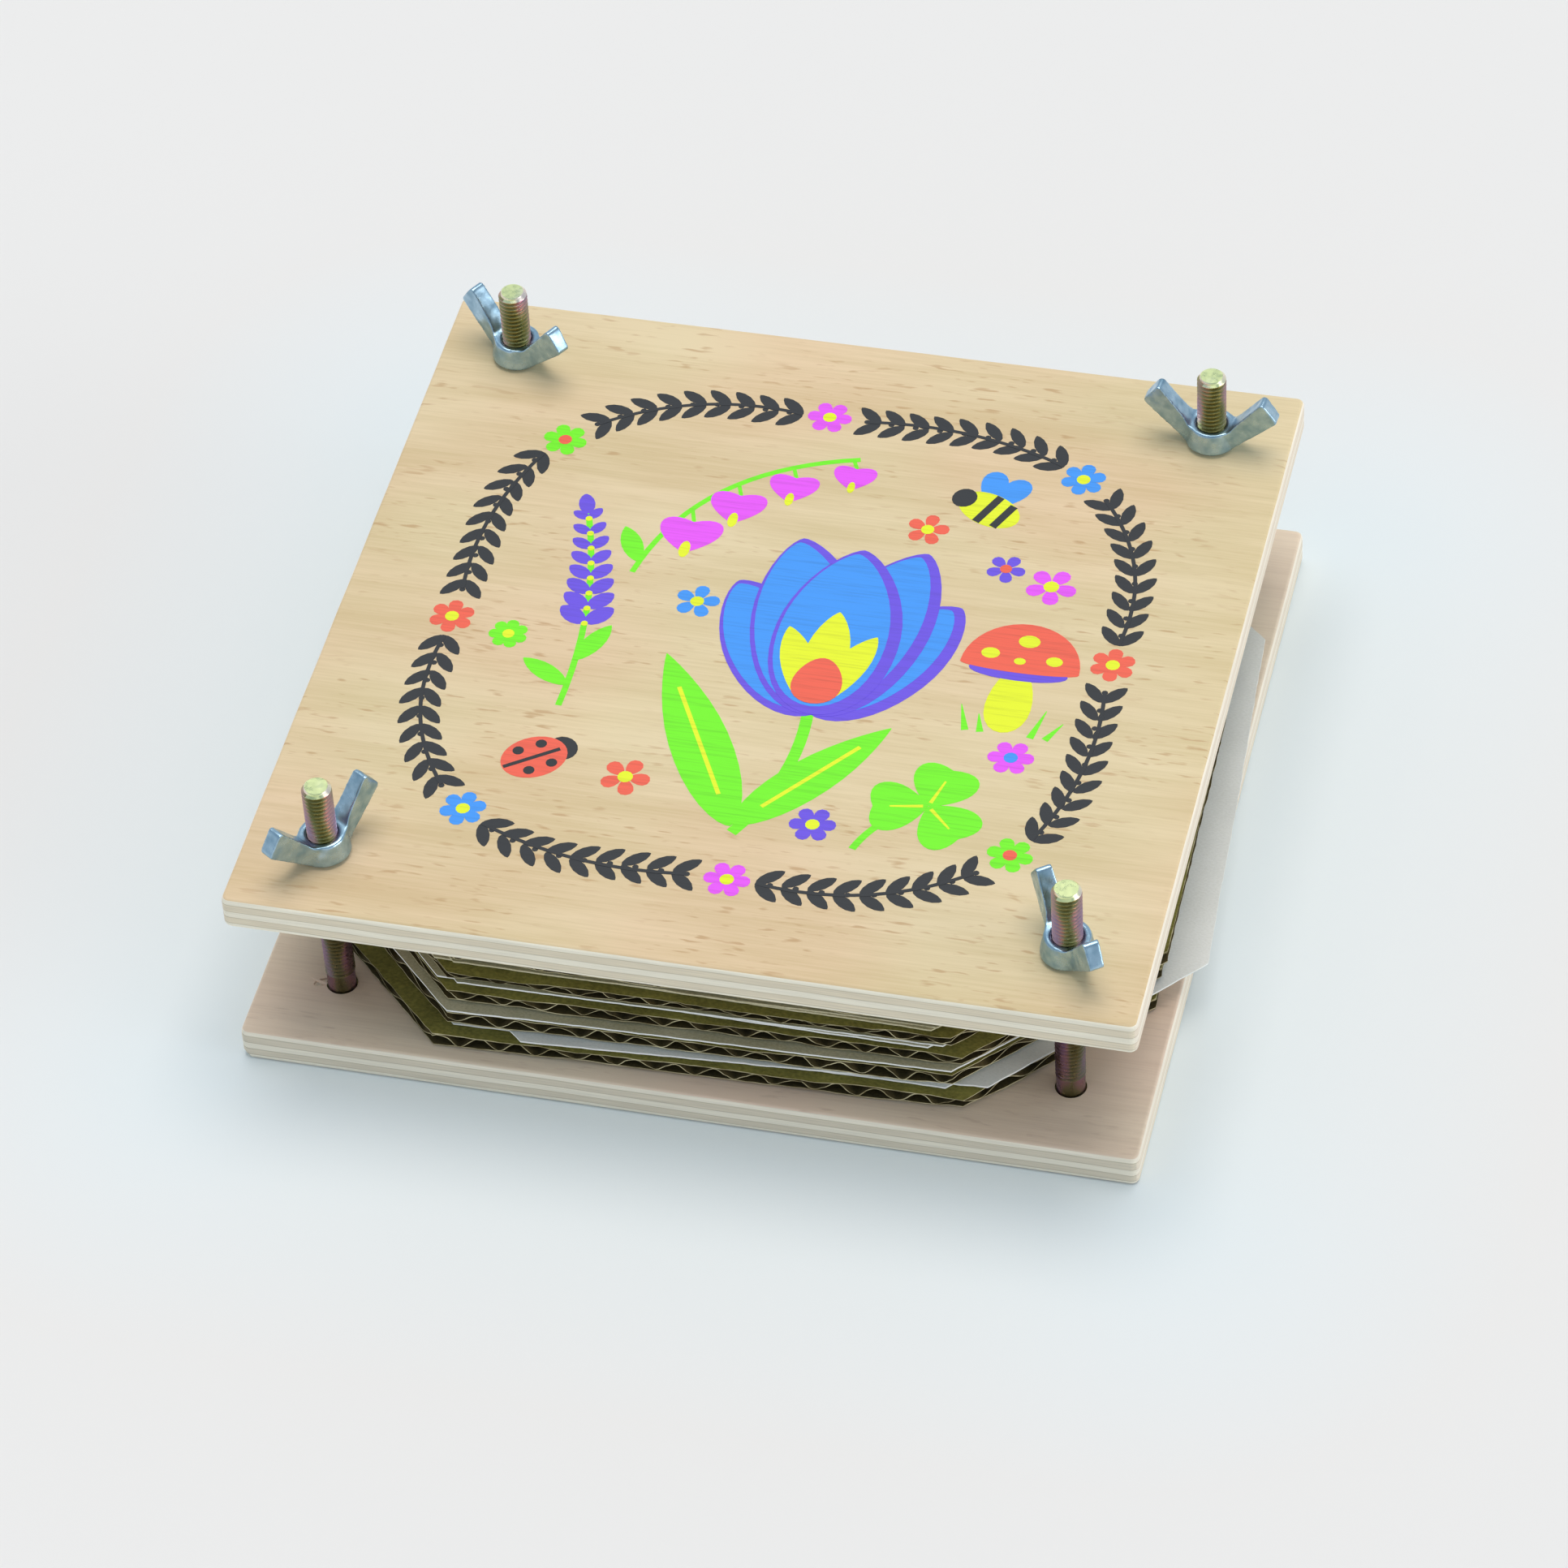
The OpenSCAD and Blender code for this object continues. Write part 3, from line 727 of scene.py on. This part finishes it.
def centre_of(node):
    """Middle of a node's underside."""
    low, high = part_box(node)
    return Vector(((low.x + high.x) / 2, (low.y + high.y) / 2, low.z))


def lay(bm, twist, place):
    """Twists a sheet that lies round the origin, and lays it in its place."""
    bmesh.ops.rotate(bm, cent=(0, 0, 0), matrix=Matrix.Rotation(twist, 3, "Z"), verts=bm.verts)
    bmesh.ops.translate(bm, vec=place, verts=bm.verts)


def octagon(width, bolt_gap, thickness, centre, twist, step, ragged, seed, band=0):
    """Sheet cut by hand: a square with its corners cut clear of the bolts, its edges a bit ragged, with a
    band of its own faces round them if it is to be crushed there."""
    bm = bmesh.new()
    bmesh.ops.create_grid(bm, x_segments=1, y_segments=1, size=width / 2)
    cut_corners(bm, bolt_gap)
    for shortest, length in SIDE_LENGTHS:
        sides = [e for e in bm.edges if e.calc_length() > shortest]
        bmesh.ops.subdivide_edges(bm, edges=sides, cuts=round(length / step))
    for vert in bm.verts:
        vert.co += vert.co.normalized() * ragged * wander(vert.co, SNIP_GRAIN, seed)
        vert.co += vert.co.normalized() * ragged * SWAY_SHARE * wander(vert.co, SWAY_GRAIN, seed + 1)
    if band:
        middle = bm.faces[:]
        bmesh.ops.inset_region(bm, faces=middle, thickness=0, use_boundary=True)
        shrink = 1 - band / (width / 2)
        bmesh.ops.scale(bm, vec=(shrink, shrink, 1), verts=middle[0].verts[:])
    lay(bm, twist, centre)
    raise_up(bm, bm.faces[:], thickness)
    return bm


def fluting(middle, bolt_gap, twist, seed):
    """Wavy sheet inside a card: waves of uneven pitch along X, drawn out from front to back."""
    bm = bmesh.new()
    half = CARD_W / 2
    crest = CARD_T / 2 - FACING_T - FLUTE_T / 2
    count = round(CARD_W / FLUTE_W) * FLUTE_STEPS
    points = []
    for i in range(count + 1):
        x = -half + CARD_W * i / count
        slack = FLUTE_SLACK * wander(Vector((x, 0, 0)), SLACK_GRAIN, seed)
        points.append((x, -half, -crest * math.cos(math.tau * (x + slack) / FLUTE_W)))
    _, edges = draw_line(bm, points)
    for _ in range(FLUTE_ROWS):
        drawn = bmesh.ops.extrude_edge_only(bm, edges=edges)
        edges = [e for e in drawn["geom"] if isinstance(e, bmesh.types.BMEdge)]
        ends = [v for v in drawn["geom"] if isinstance(v, bmesh.types.BMVert)]
        bmesh.ops.translate(bm, vec=(0, CARD_W / FLUTE_ROWS, 0), verts=ends)
    bmesh.ops.solidify(bm, geom=bm.faces[:], thickness=FLUTE_T)
    bmesh.ops.recalc_face_normals(bm, faces=bm.faces)
    cut_corners(bm, bolt_gap)
    for vert in bm.verts:
        if abs(abs(vert.co.y) - half) < FLUTE_END:
            vert.co.y += FLUTE_WAVER * wander(vert.co, WAVER_GRAIN, seed + 2)
    low = min(v.co.z for v in bm.verts)
    high = max(v.co.z for v in bm.verts)
    bmesh.ops.translate(bm, vec=(0, 0, -(low + high) / 2), verts=bm.verts)
    lay(bm, twist, middle)
    return bm


def crush_edges(bm, middle, twist, bolt_gap, amount, seed):
    """Squeezes a card towards its middle plane along its edges, unevenly, as scissors and use do."""
    cut = corner_cut(bolt_gap)
    back = Matrix.Rotation(-twist, 2)
    for vert in bm.verts:
        place = back @ (vert.co - middle).xy
        x, y = abs(place.x), abs(place.y)
        inside = min(CARD_W / 2 - x, CARD_W / 2 - y, cut - (x + y) / math.sqrt(2))
        share = min(1.0, max(0.0, 1 - inside / CRUSH_REACH))
        bite = CRUSH_MEAN + CRUSH_VARY * wander(vert.co.xy.to_3d(), CRUSH_GRAIN, seed)
        vert.co.z = middle.z + (vert.co.z - middle.z) * (1 - amount * share * max(0.0, bite))


def corrugated_card(number, kraft, cut_and_painted_lit_kraft, painted_shade_kraft):
    """Corrugated card: two ragged facings, paler where they are cut, with the wavy sheet between them. The
    wavy sheet and the facings' inner faces take a darker kraft as painted shade, and the wavy sheet's walls
    near the left and right edges a pale one as painted light.
    """
    node = f"corrugated_card_{number}"
    twist = SHEET_TWIST * CARD_TWIST_SHARES[number - 1]
    bolt_gap = CARD_BOLT_GAP * (1 + CARD_TRIM_SHARES[number - 1])
    foot = centre_of(node)
    middle = foot + Vector((0, 0, CARD_T / 2))
    bm = bmesh.new()
    for side in (0, 1):
        level = Vector((0, 0, side * (CARD_T - FACING_T)))
        merge_into(bm, octagon(CARD_W, bolt_gap, FACING_T, foot + level, twist, CARD_STEP, CARD_RAGGED,
                               number * SEEDS_PER_CARD + side, RIM_BAND))
    facings = len(bm.faces)
    merge_into(bm, fluting(middle, bolt_gap, twist, number))
    crush_edges(bm, middle, twist, bolt_gap, CRUSH_SHARES[number - 1], number + CRUSH_SEED)
    piece = as_piece(bm, node + "_kraft", "base", [kraft, cut_and_painted_lit_kraft, painted_shade_kraft], node,
                     SHEET_CREASE)
    for polygon in piece.data.polygons:
        if polygon.index >= facings:
            # Painted light: besides the cut ends, the wavy sheet's walls near the left and right edges take
            # the pale cut kraft
            cut = abs(polygon.normal.y) > FACES_WAY or abs(polygon.center.x) > CARD_W / 2 - FLUTE_W / 2
            polygon.material_index = 1 if cut else 2
        elif abs(polygon.normal.z) < FACES_WAY:
            polygon.material_index = 1
        else:
            # Painted shade: faces that look into the card take the dark kraft
            polygon.material_index = 2 if (polygon.center.z - middle.z) * polygon.normal.z < 0 else 0
    return piece


def blotting_sheet(number, face, cut_edge):
    """Blotting paper: thick and soft, cut by hand, its face and its cut edge each with a finish of its own.
    """
    node = f"blotting_paper_{number}"
    low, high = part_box(node)
    twist = SHEET_TWIST * PAPER_TWIST_SHARES[number - 1]
    bolt_gap = PAPER_BOLT_GAP * (1 + PAPER_TRIM_SHARES[number - 1])
    bm = octagon(PAPER_W, bolt_gap, high.z - low.z, centre_of(node), twist, PAPER_STEP, PAPER_RAGGED,
                 PAPER_SEED + number)
    piece = as_piece(bm, node + "_soft", "base", [face, cut_edge], node, SHEET_CREASE)
    for polygon in piece.data.polygons:
        polygon.material_index = int(abs(polygon.normal.z) < FACES_WAY)
    return piece


def raise_film(ink, verts, level):
    """Gives a flat spot of ink its thickness, a hair more or less than its neighbours have."""
    faces = list({face for vert in verts for face in vert.link_faces})
    hair = len(ink.faces) * HAIR_STEP % 1 * HAIR_SHARE
    raise_up(ink, faces, INK_T * (1 + level + hair))


def spot(ink, place, size, angle=0.0, level=0, taper=0.0, points=(0.0, 0.0), notch=0.0, belly=1.0, sides=24):
    """Spot of ink, size mm long and wide: a circle tapered, pointed at its ends or notched at its far end."""
    made = bmesh.ops.create_circle(ink, cap_ends=True, segments=sides, radius=1)["verts"]
    for vert in made:
        along, across, _ = vert.co
        sharp = points[1] if along > 0 else points[0]
        vert.co.x = along - notch * max(along, 0) * (1 - abs(across)) ** 1.5
        vert.co.y = across * abs(across) ** sharp * (1 + taper * along) * (belly if across < 0 else 1)
    bmesh.ops.scale(ink, vec=(size[0] / 2 * MM, size[1] / 2 * MM, 1), verts=made)
    turn = Matrix.Rotation(math.radians(angle), 4, "Z")
    bmesh.ops.transform(ink, matrix=Matrix.Translation(face_point(*place)) @ turn, verts=made)
    raise_film(ink, made, level)


def bowed(start, end, bow, share):
    """Point and slope after a share of the way from start to end, on a line bowed to its left by bow mm."""
    run = Vector(end) - Vector(start)
    left = Vector((-run.y, run.x)).normalized()
    place = Vector(start) + run * share + left * bow * 4 * share * (1 - share)
    return place, (run + left * bow * 4 * (1 - 2 * share)).normalized()


def stroke(ink, start, end, width, bow=0.0, level=0, taper=0.0, steps=12):
    """Stroke of ink from start to end, bowed to its left by bow mm and thinner towards its end."""
    made = bmesh.ops.create_grid(ink, x_segments=steps, y_segments=1, size=1)["verts"]
    for vert in made:
        share = (vert.co.x + 1) / 2
        middle, slope = bowed(start, end, bow, share)
        side = Vector((-slope.y, slope.x)) * vert.co.y * width / 2 * (1 - taper * share)
        vert.co = face_point(*(middle + side))
    raise_film(ink, made, level)


def face_point(x, y):
    """Point on the upper board's face, from its middle in mm."""
    return Vector((x * MM, y * MM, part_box("top_board")[1].z))


def polar(place, angle, reach):
    """Point at reach mm from place, in the direction of angle."""
    return place[0] + reach * math.cos(math.radians(angle)), place[1] + reach * math.sin(math.radians(angle))


def small_flower(petal_ink, heart_ink, place, reach, petals, turn=0.0):
    """Little flower with round petals."""
    for i in range(petals):
        angle = turn + 360 * i / petals
        spot(petal_ink, polar(place, angle, reach * 0.58), (reach * 0.86, reach * 0.62), angle, 1, taper=0.3,
             sides=12)
    spot(heart_ink, place, (reach * 0.62, reach * 0.62), level=2, sides=12)


def laurel_place(run):
    """Point and direction after run mm along the rounded square that the laurel follows."""
    quarter, rest = divmod(run, LAUREL_STRAIGHT + LAUREL_BEND)
    half = LAUREL_STRAIGHT / 2
    if rest < LAUREL_STRAIGHT:
        angle = 0.0
        place = Vector((LAUREL_HALF, rest - half))
    else:
        angle = math.degrees((rest - LAUREL_STRAIGHT) / LAUREL_R)
        place = Vector(polar((half, half), angle, LAUREL_R))
    turn = 90 * quarter
    place.rotate(Matrix.Rotation(math.radians(turn), 2))
    return place, 90 + angle + turn


def laurel(inks):
    """Border of dark leaves in pairs, broken by eight little flowers."""
    length = 4 * (LAUREL_STRAIGHT + LAUREL_BEND)
    part = length / LAUREL_PARTS
    hues = [("orange", "yellow"), ("blue", "yellow"), ("magenta", "yellow"), ("lime", "orange")] * 2
    for i, (petals, heart) in enumerate(hues):
        place, angle = laurel_place(part * i + part / 2)
        small_flower(inks[petals], inks[heart], place, 4.6, 6, angle)
        stations = int((part - 13) / LAUREL_STEP)
        for j in range(stations + 1):
            run = part * (i + 1) + (j - stations / 2) * LAUREL_STEP - LEAF_REACH / 2
            place, angle = laurel_place(run % length)
            for side in (-1, 1):
                lean = angle + side * 40
                spot(inks["black"], polar(place, lean, 3.3), (6.4, 2.7), lean, points=(0.2, 0.5), sides=12)
            spot(inks["black"], polar(place, angle, 2.9), (1.3, 1.3), sides=8)
        half = stations / 2 * LAUREL_STEP
        stem_start, _ = laurel_place((part * (i + 1) - half - LEAF_REACH / 2) % length)
        stem_end, _ = laurel_place((part * (i + 1) + half) % length)
        middle, _ = laurel_place((part * (i + 1) - LEAF_REACH / 4) % length)
        chord = (stem_start + stem_end) / 2
        sag = -(middle - chord).length
        stroke(inks["black"], stem_start, stem_end, 0.8, sag, level=2, steps=20)


def tulip(inks):
    """Large blue tulip edged in purple, with a yellow heart, a curved stem and two long leaves."""
    foot = (10, -18)
    stroke(inks["lime"], foot, (3, -54), 2.4, 3)
    for tip, angle, width in (((-22, -8), 118, 12), ((27, -20), 52, 10)):
        middle = ((tip[0] + 3) / 2, (tip[1] - 52) / 2)
        reach = math.dist(tip, (3, -52))
        spot(inks["lime"], middle, (reach, width), angle, 1, taper=-0.2, points=(0.3, 0.8), sides=32)
        stroke(inks["yellow"], polar(middle, angle, -reach * 0.32), polar(middle, angle, reach * 0.3), 0.9,
               level=2)
    petal = {"taper": -0.12, "points": (0.0, 0.35), "sides": 40}
    for lean, length, width, level in ((34, 40, 19, 1), (-34, 40, 19, 1), (15, 49, 21, 3), (-15, 49, 21, 3),
                                       (0, 46, 23, 5)):
        angle = 90 + lean
        middle = polar(foot, angle, length / 2)
        spot(inks["purple"], (middle[0] + 0.9, middle[1] - 0.4), (length + 2, width + 2.4), angle, level,
             **petal)
        spot(inks["blue"], middle, (length - 1.5, width - 1), angle, level + 1, **petal)
    for lean, length, width in ((22, 22, 7), (-22, 22, 7), (0, 26, 9)):
        spot(inks["yellow"], polar(foot, 90 + lean, length / 2 + 2), (length, width), 90 + lean, 7,
             points=(0.0, 0.6), sides=28)
    spot(inks["orange"], polar(foot, 90, 8), (13, 10), 90, 9, taper=-0.2, sides=28)


def lavender(inks):
    """Spike of lavender on the left."""
    foot, tip, bow = (-39, -26), (-48, 32), -3
    stroke(inks["lime"], foot, tip, 1.3, bow)
    for i in range(8):
        place, slope = bowed(foot, tip, bow, 0.40 + 0.075 * i)
        rise = math.degrees(math.atan2(slope.y, slope.x))
        size = 7.0 - 0.45 * i
        for side in (-1, 1):
            spot(inks["purple"], polar(place, rise + side * 48, size * 0.52), (size, size * 0.58),
                 rise + side * 48, 1, points=(0.1, 0.3), sides=14)
        spot(inks["yellow"], place, (1.5, 1.5), level=2, sides=8)
    spot(inks["purple"], tip, (6, 3.4), rise, 1, points=(0.1, 0.3), sides=14)
    for share, side in ((0.10, 1), (0.22, -1)):
        place, _ = bowed(foot, tip, bow, share)
        spot(inks["lime"], polar(place, rise + side * 42, 6), (12, 4.2), rise + side * 42, 1,
             points=(0.4, 0.7), sides=20)


def heart_sprig(inks):
    """Arched stem with four hanging hearts at the back."""
    start, end, bow = (-34, 14), (4, 55), 9
    stroke(inks["lime"], start, end, 1.2, bow, steps=18)
    for i, share in enumerate((0.36, 0.57, 0.78, 0.98)):
        knot, _ = bowed(start, end, bow, share)
        size = 11.5 - 1.2 * i
        place = (knot.x + 1.2, knot.y - size * 0.62)
        stroke(inks["lime"], knot, (place[0], place[1] + size * 0.3), 0.8)
        spot(inks["magenta"], place, (size, size * 1.08), 90, 1, taper=0.35, points=(0.5, 0.0), notch=0.42,
             sides=32)
        spot(inks["yellow"], (place[0], place[1] - size * 0.42), (size * 0.42, size * 0.2), 90, 2, sides=12)
    spot(inks["lime"], (-36, 22), (11, 4.4), 118, 1, points=(0.4, 0.7), sides=20)


def toadstool(inks):
    """Orange toadstool with yellow spots, in a tuft of grass on the right."""
    cap = (48.5, 1)
    spot(inks["yellow"], (cap[0], cap[1] - 9), (19, 9), 90, 1, taper=-0.25, sides=24)
    spot(inks["purple"], (cap[0], cap[1] - 1.2), (20, 5), 0, 2, sides=24)
    spot(inks["orange"], cap, (24, 25), 0, 3, belly=0.12, sides=40)
    for x, y, size in ((-6.5, 3.2, 3.8), (0.5, 7.6, 4.4), (6.5, 2.8, 3.4), (-0.3, 1.8, 2.4)):
        spot(inks["yellow"], (cap[0] + x, cap[1] + y), (size, size * 0.8), 0, 4, sides=14)
    ground = cap[1] - 19
    for x, tall in ((-7, 7), (-4, 5), (6, 8), (9, 5)):
        stroke(inks["lime"], (cap[0] + x, ground), (cap[0] + x * 1.3, ground + tall), 1.5, taper=0.9)


def clover(inks):
    """Clover leaf at the front right, with yellow veins."""
    knot = (39, -40)
    stroke(inks["lime"], knot, (27, -54), 1.5, -2)
    for angle in (75, 190, -45):
        spot(inks["lime"], polar(knot, angle, 6.4), (12.6, 12.8), angle, 1, taper=0.3, points=(0.5, 0.0),
             notch=0.3, sides=32)
        stroke(inks["yellow"], polar(knot, angle, 1), polar(knot, angle, 7.5), 0.8, level=2, taper=0.5)


def ladybird(inks):
    """Ladybird at the front left."""
    middle, angle = (-40, -41), 35
    spot(inks["black"], polar(middle, angle, 6), (6, 6.5), angle, 0, sides=18)
    spot(inks["orange"], middle, (13.5, 11), angle, 1, sides=30)
    stroke(inks["black"], polar(middle, angle, -6.5), polar(middle, angle, 5.5), 0.9, level=2)
    for along, across in ((2.6, 2.9), (2.6, -2.9), (-2.2, 3), (-2.2, -3)):
        place = polar(polar(middle, angle, along), angle + 90, across)
        spot(inks["black"], place, (2.3, 2.3), level=2, sides=12)


def bumblebee(inks):
    """Bumblebee at the back right."""
    middle, angle = (33, 45), 155
    for lean in (62, 98):
        spot(inks["blue"], polar(middle, angle - lean, 6.5), (10, 5.4), angle - lean, 0, taper=0.3, sides=20)
    spot(inks["yellow"], middle, (14, 9), angle, 1, sides=30)
    for along in (-3.6, 0.2):
        centre = polar(middle, angle, along)
        half = 3.7 if along < 0 else 4.4
        stroke(inks["black"], polar(centre, angle + 90, half), polar(centre, angle - 90, half), 1.7, level=2)
    spot(inks["black"], polar(middle, angle, 6.2), (5, 5.6), angle, 2, sides=16)


def print_face(hues):
    """The printed face: a garden of plain motifs inside the laurel, one piece of ink for each colour."""
    inks = {name: bmesh.new() for name in hues}
    for draw in (laurel, tulip, lavender, heart_sprig, toadstool, clover, ladybird, bumblebee):
        draw(inks)
    for petals, heart, x, y, reach, count in (
            ("magenta", "yellow", 50, 25, 5.2, 5), ("orange", "yellow", -21, -43, 5, 5),
            ("purple", "yellow", 18, -49, 4.6, 6), ("blue", "yellow", -19, 8, 4.6, 5),
            ("purple", "orange", 40, 28.5, 4, 5), ("magenta", "blue", 52, -24, 4.6, 6),
            ("lime", "yellow", -54, -8, 4, 7), ("orange", "yellow", 22, 37, 4.4, 5)):
        small_flower(inks[petals], inks[heart], (x, y), reach, count, x * 7)
    for name, hex_colour in hues.items():
        as_piece(inks[name], "printed_" + name, "top_board",
                 [screen_ink("screen_ink_" + name, hex_colour)])


look_at_press()
light_press()
lay_floor()

top_face = birch_face("birch_veneer_upper", "#ECD6B2", "#DCC59B", "#B98A58")
low_face = birch_face("birch_veneer_lower", "#EFDCC9", "#E1CCB9", "#CFB49E")
board_low, board_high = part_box("bottom_board")
lid_low, lid_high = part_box("top_board")
bolts = corners()
neck_across = (NECK_W / 2 + NECK_CLEARANCE) * math.sqrt(2)
plywood_board("bottom_board", "base", [
    (HEAD_R + HEAD_CLEARANCE, HEAD_SIDES, board_low.z - MM, HEAD_SEAT_Z),
    (neck_across, NECK_SIDES, HEAD_SEAT_Z - SEAT_LAP, HEAD_SEAT_Z + NECK_LEN),
    (MOUTH_R, SHANK_SIDES, HEAD_SEAT_Z + NECK_LEN - SEAT_LAP, board_high.z + MM),
], [
    (bolts["front_left"] + Vector((TORN_X, TORN_Y, board_high.z)), TORN_SIZE),
    (board_low, KNOCK_SIZE),
], low_face, ("#F8EEDA", "#E3D6C0", "#C6B8A0"), LOWER_SEED)
plywood_board("top_board", "top_board", [(HOLE_R, HOLE_SIDES, lid_low.z - MM, lid_high.z + MM)], [], top_face,
              ("#FFF7E2", "#F0E3C9", "#D0C2A6"), UPPER_SEED)
splinter(bolts["front_left"], board_high.z, low_face)

# Film tones from olive to rosy; the rosy ones are painted sheen on the bolts' flanks
gold = yellow_zinc("yellow_zinc_painted_sheen_and_shade", ("#8E8854", "#AAA270", "#D4A89E", "#C09CAE"))
# Paler film for the bolts' tips: a painted highlight
painted_glare_gold = yellow_zinc("yellow_zinc_tip_painted_glare", ("#E4EEB0", "#ECF4C0", "#F2E8D0", "#EADCD4"))
grey = bright_zinc("bright_zinc_plate")
for corner, axis in bolts.items():
    carriage_bolt("carriage_bolt_" + corner, axis, gold, painted_glare_gold)
    wing_nut("wing_nut_" + corner, axis, grey)

# The liner's dark olive is painted shade: kraft darkened to stand for the shade between the boards
kraft = fibrous("kraft_liner", "#8A833C", "#686124", 0.8, 0.06)
# Pale kraft for cut edges, and as painted light on the wavy sheet's walls at the sides
cut_and_painted_lit_kraft = fibrous("kraft_cut_and_painted_lit_side", "#D6CBA2", "#857850", 3, 0.06)
# Painted shade: the darkest kraft, for the cells inside the cards
painted_shade_kraft = fibrous("kraft_painted_shade_inside", "#5E5028", "#40361A", 0.8, 0.06)
white = fibrous("blotting_paper_white", "#F8F8F5", "#ECECE8", 0.6, 0.05)
# Painted shade: a darker, yellower cream that stands for the shade on sheets inside the stack
cream = fibrous("blotting_paper_painted_shade", "#D2CAAC", "#B8B08C", 0.6, 0.05)
for number in range(1, 7):
    corrugated_card(number, kraft, cut_and_painted_lit_kraft, painted_shade_kraft)
for number in range(1, 11):
    # Sheets 3 to 10 take the painted shade cream on their faces, sheets 7 to 10 on their cut edges too
    blotting_sheet(number, white if number <= 2 else cream, white if number <= 6 else cream)

print_face({
    "black": "#23262B", "blue": "#3C9BFA", "purple": "#6E50E6", "magenta": "#F055FA",
    "lime": "#78FA0A", "orange": "#FA644B", "yellow": "#F0FA14",
})

bpy.context.scene.view_settings.view_transform = "Standard"
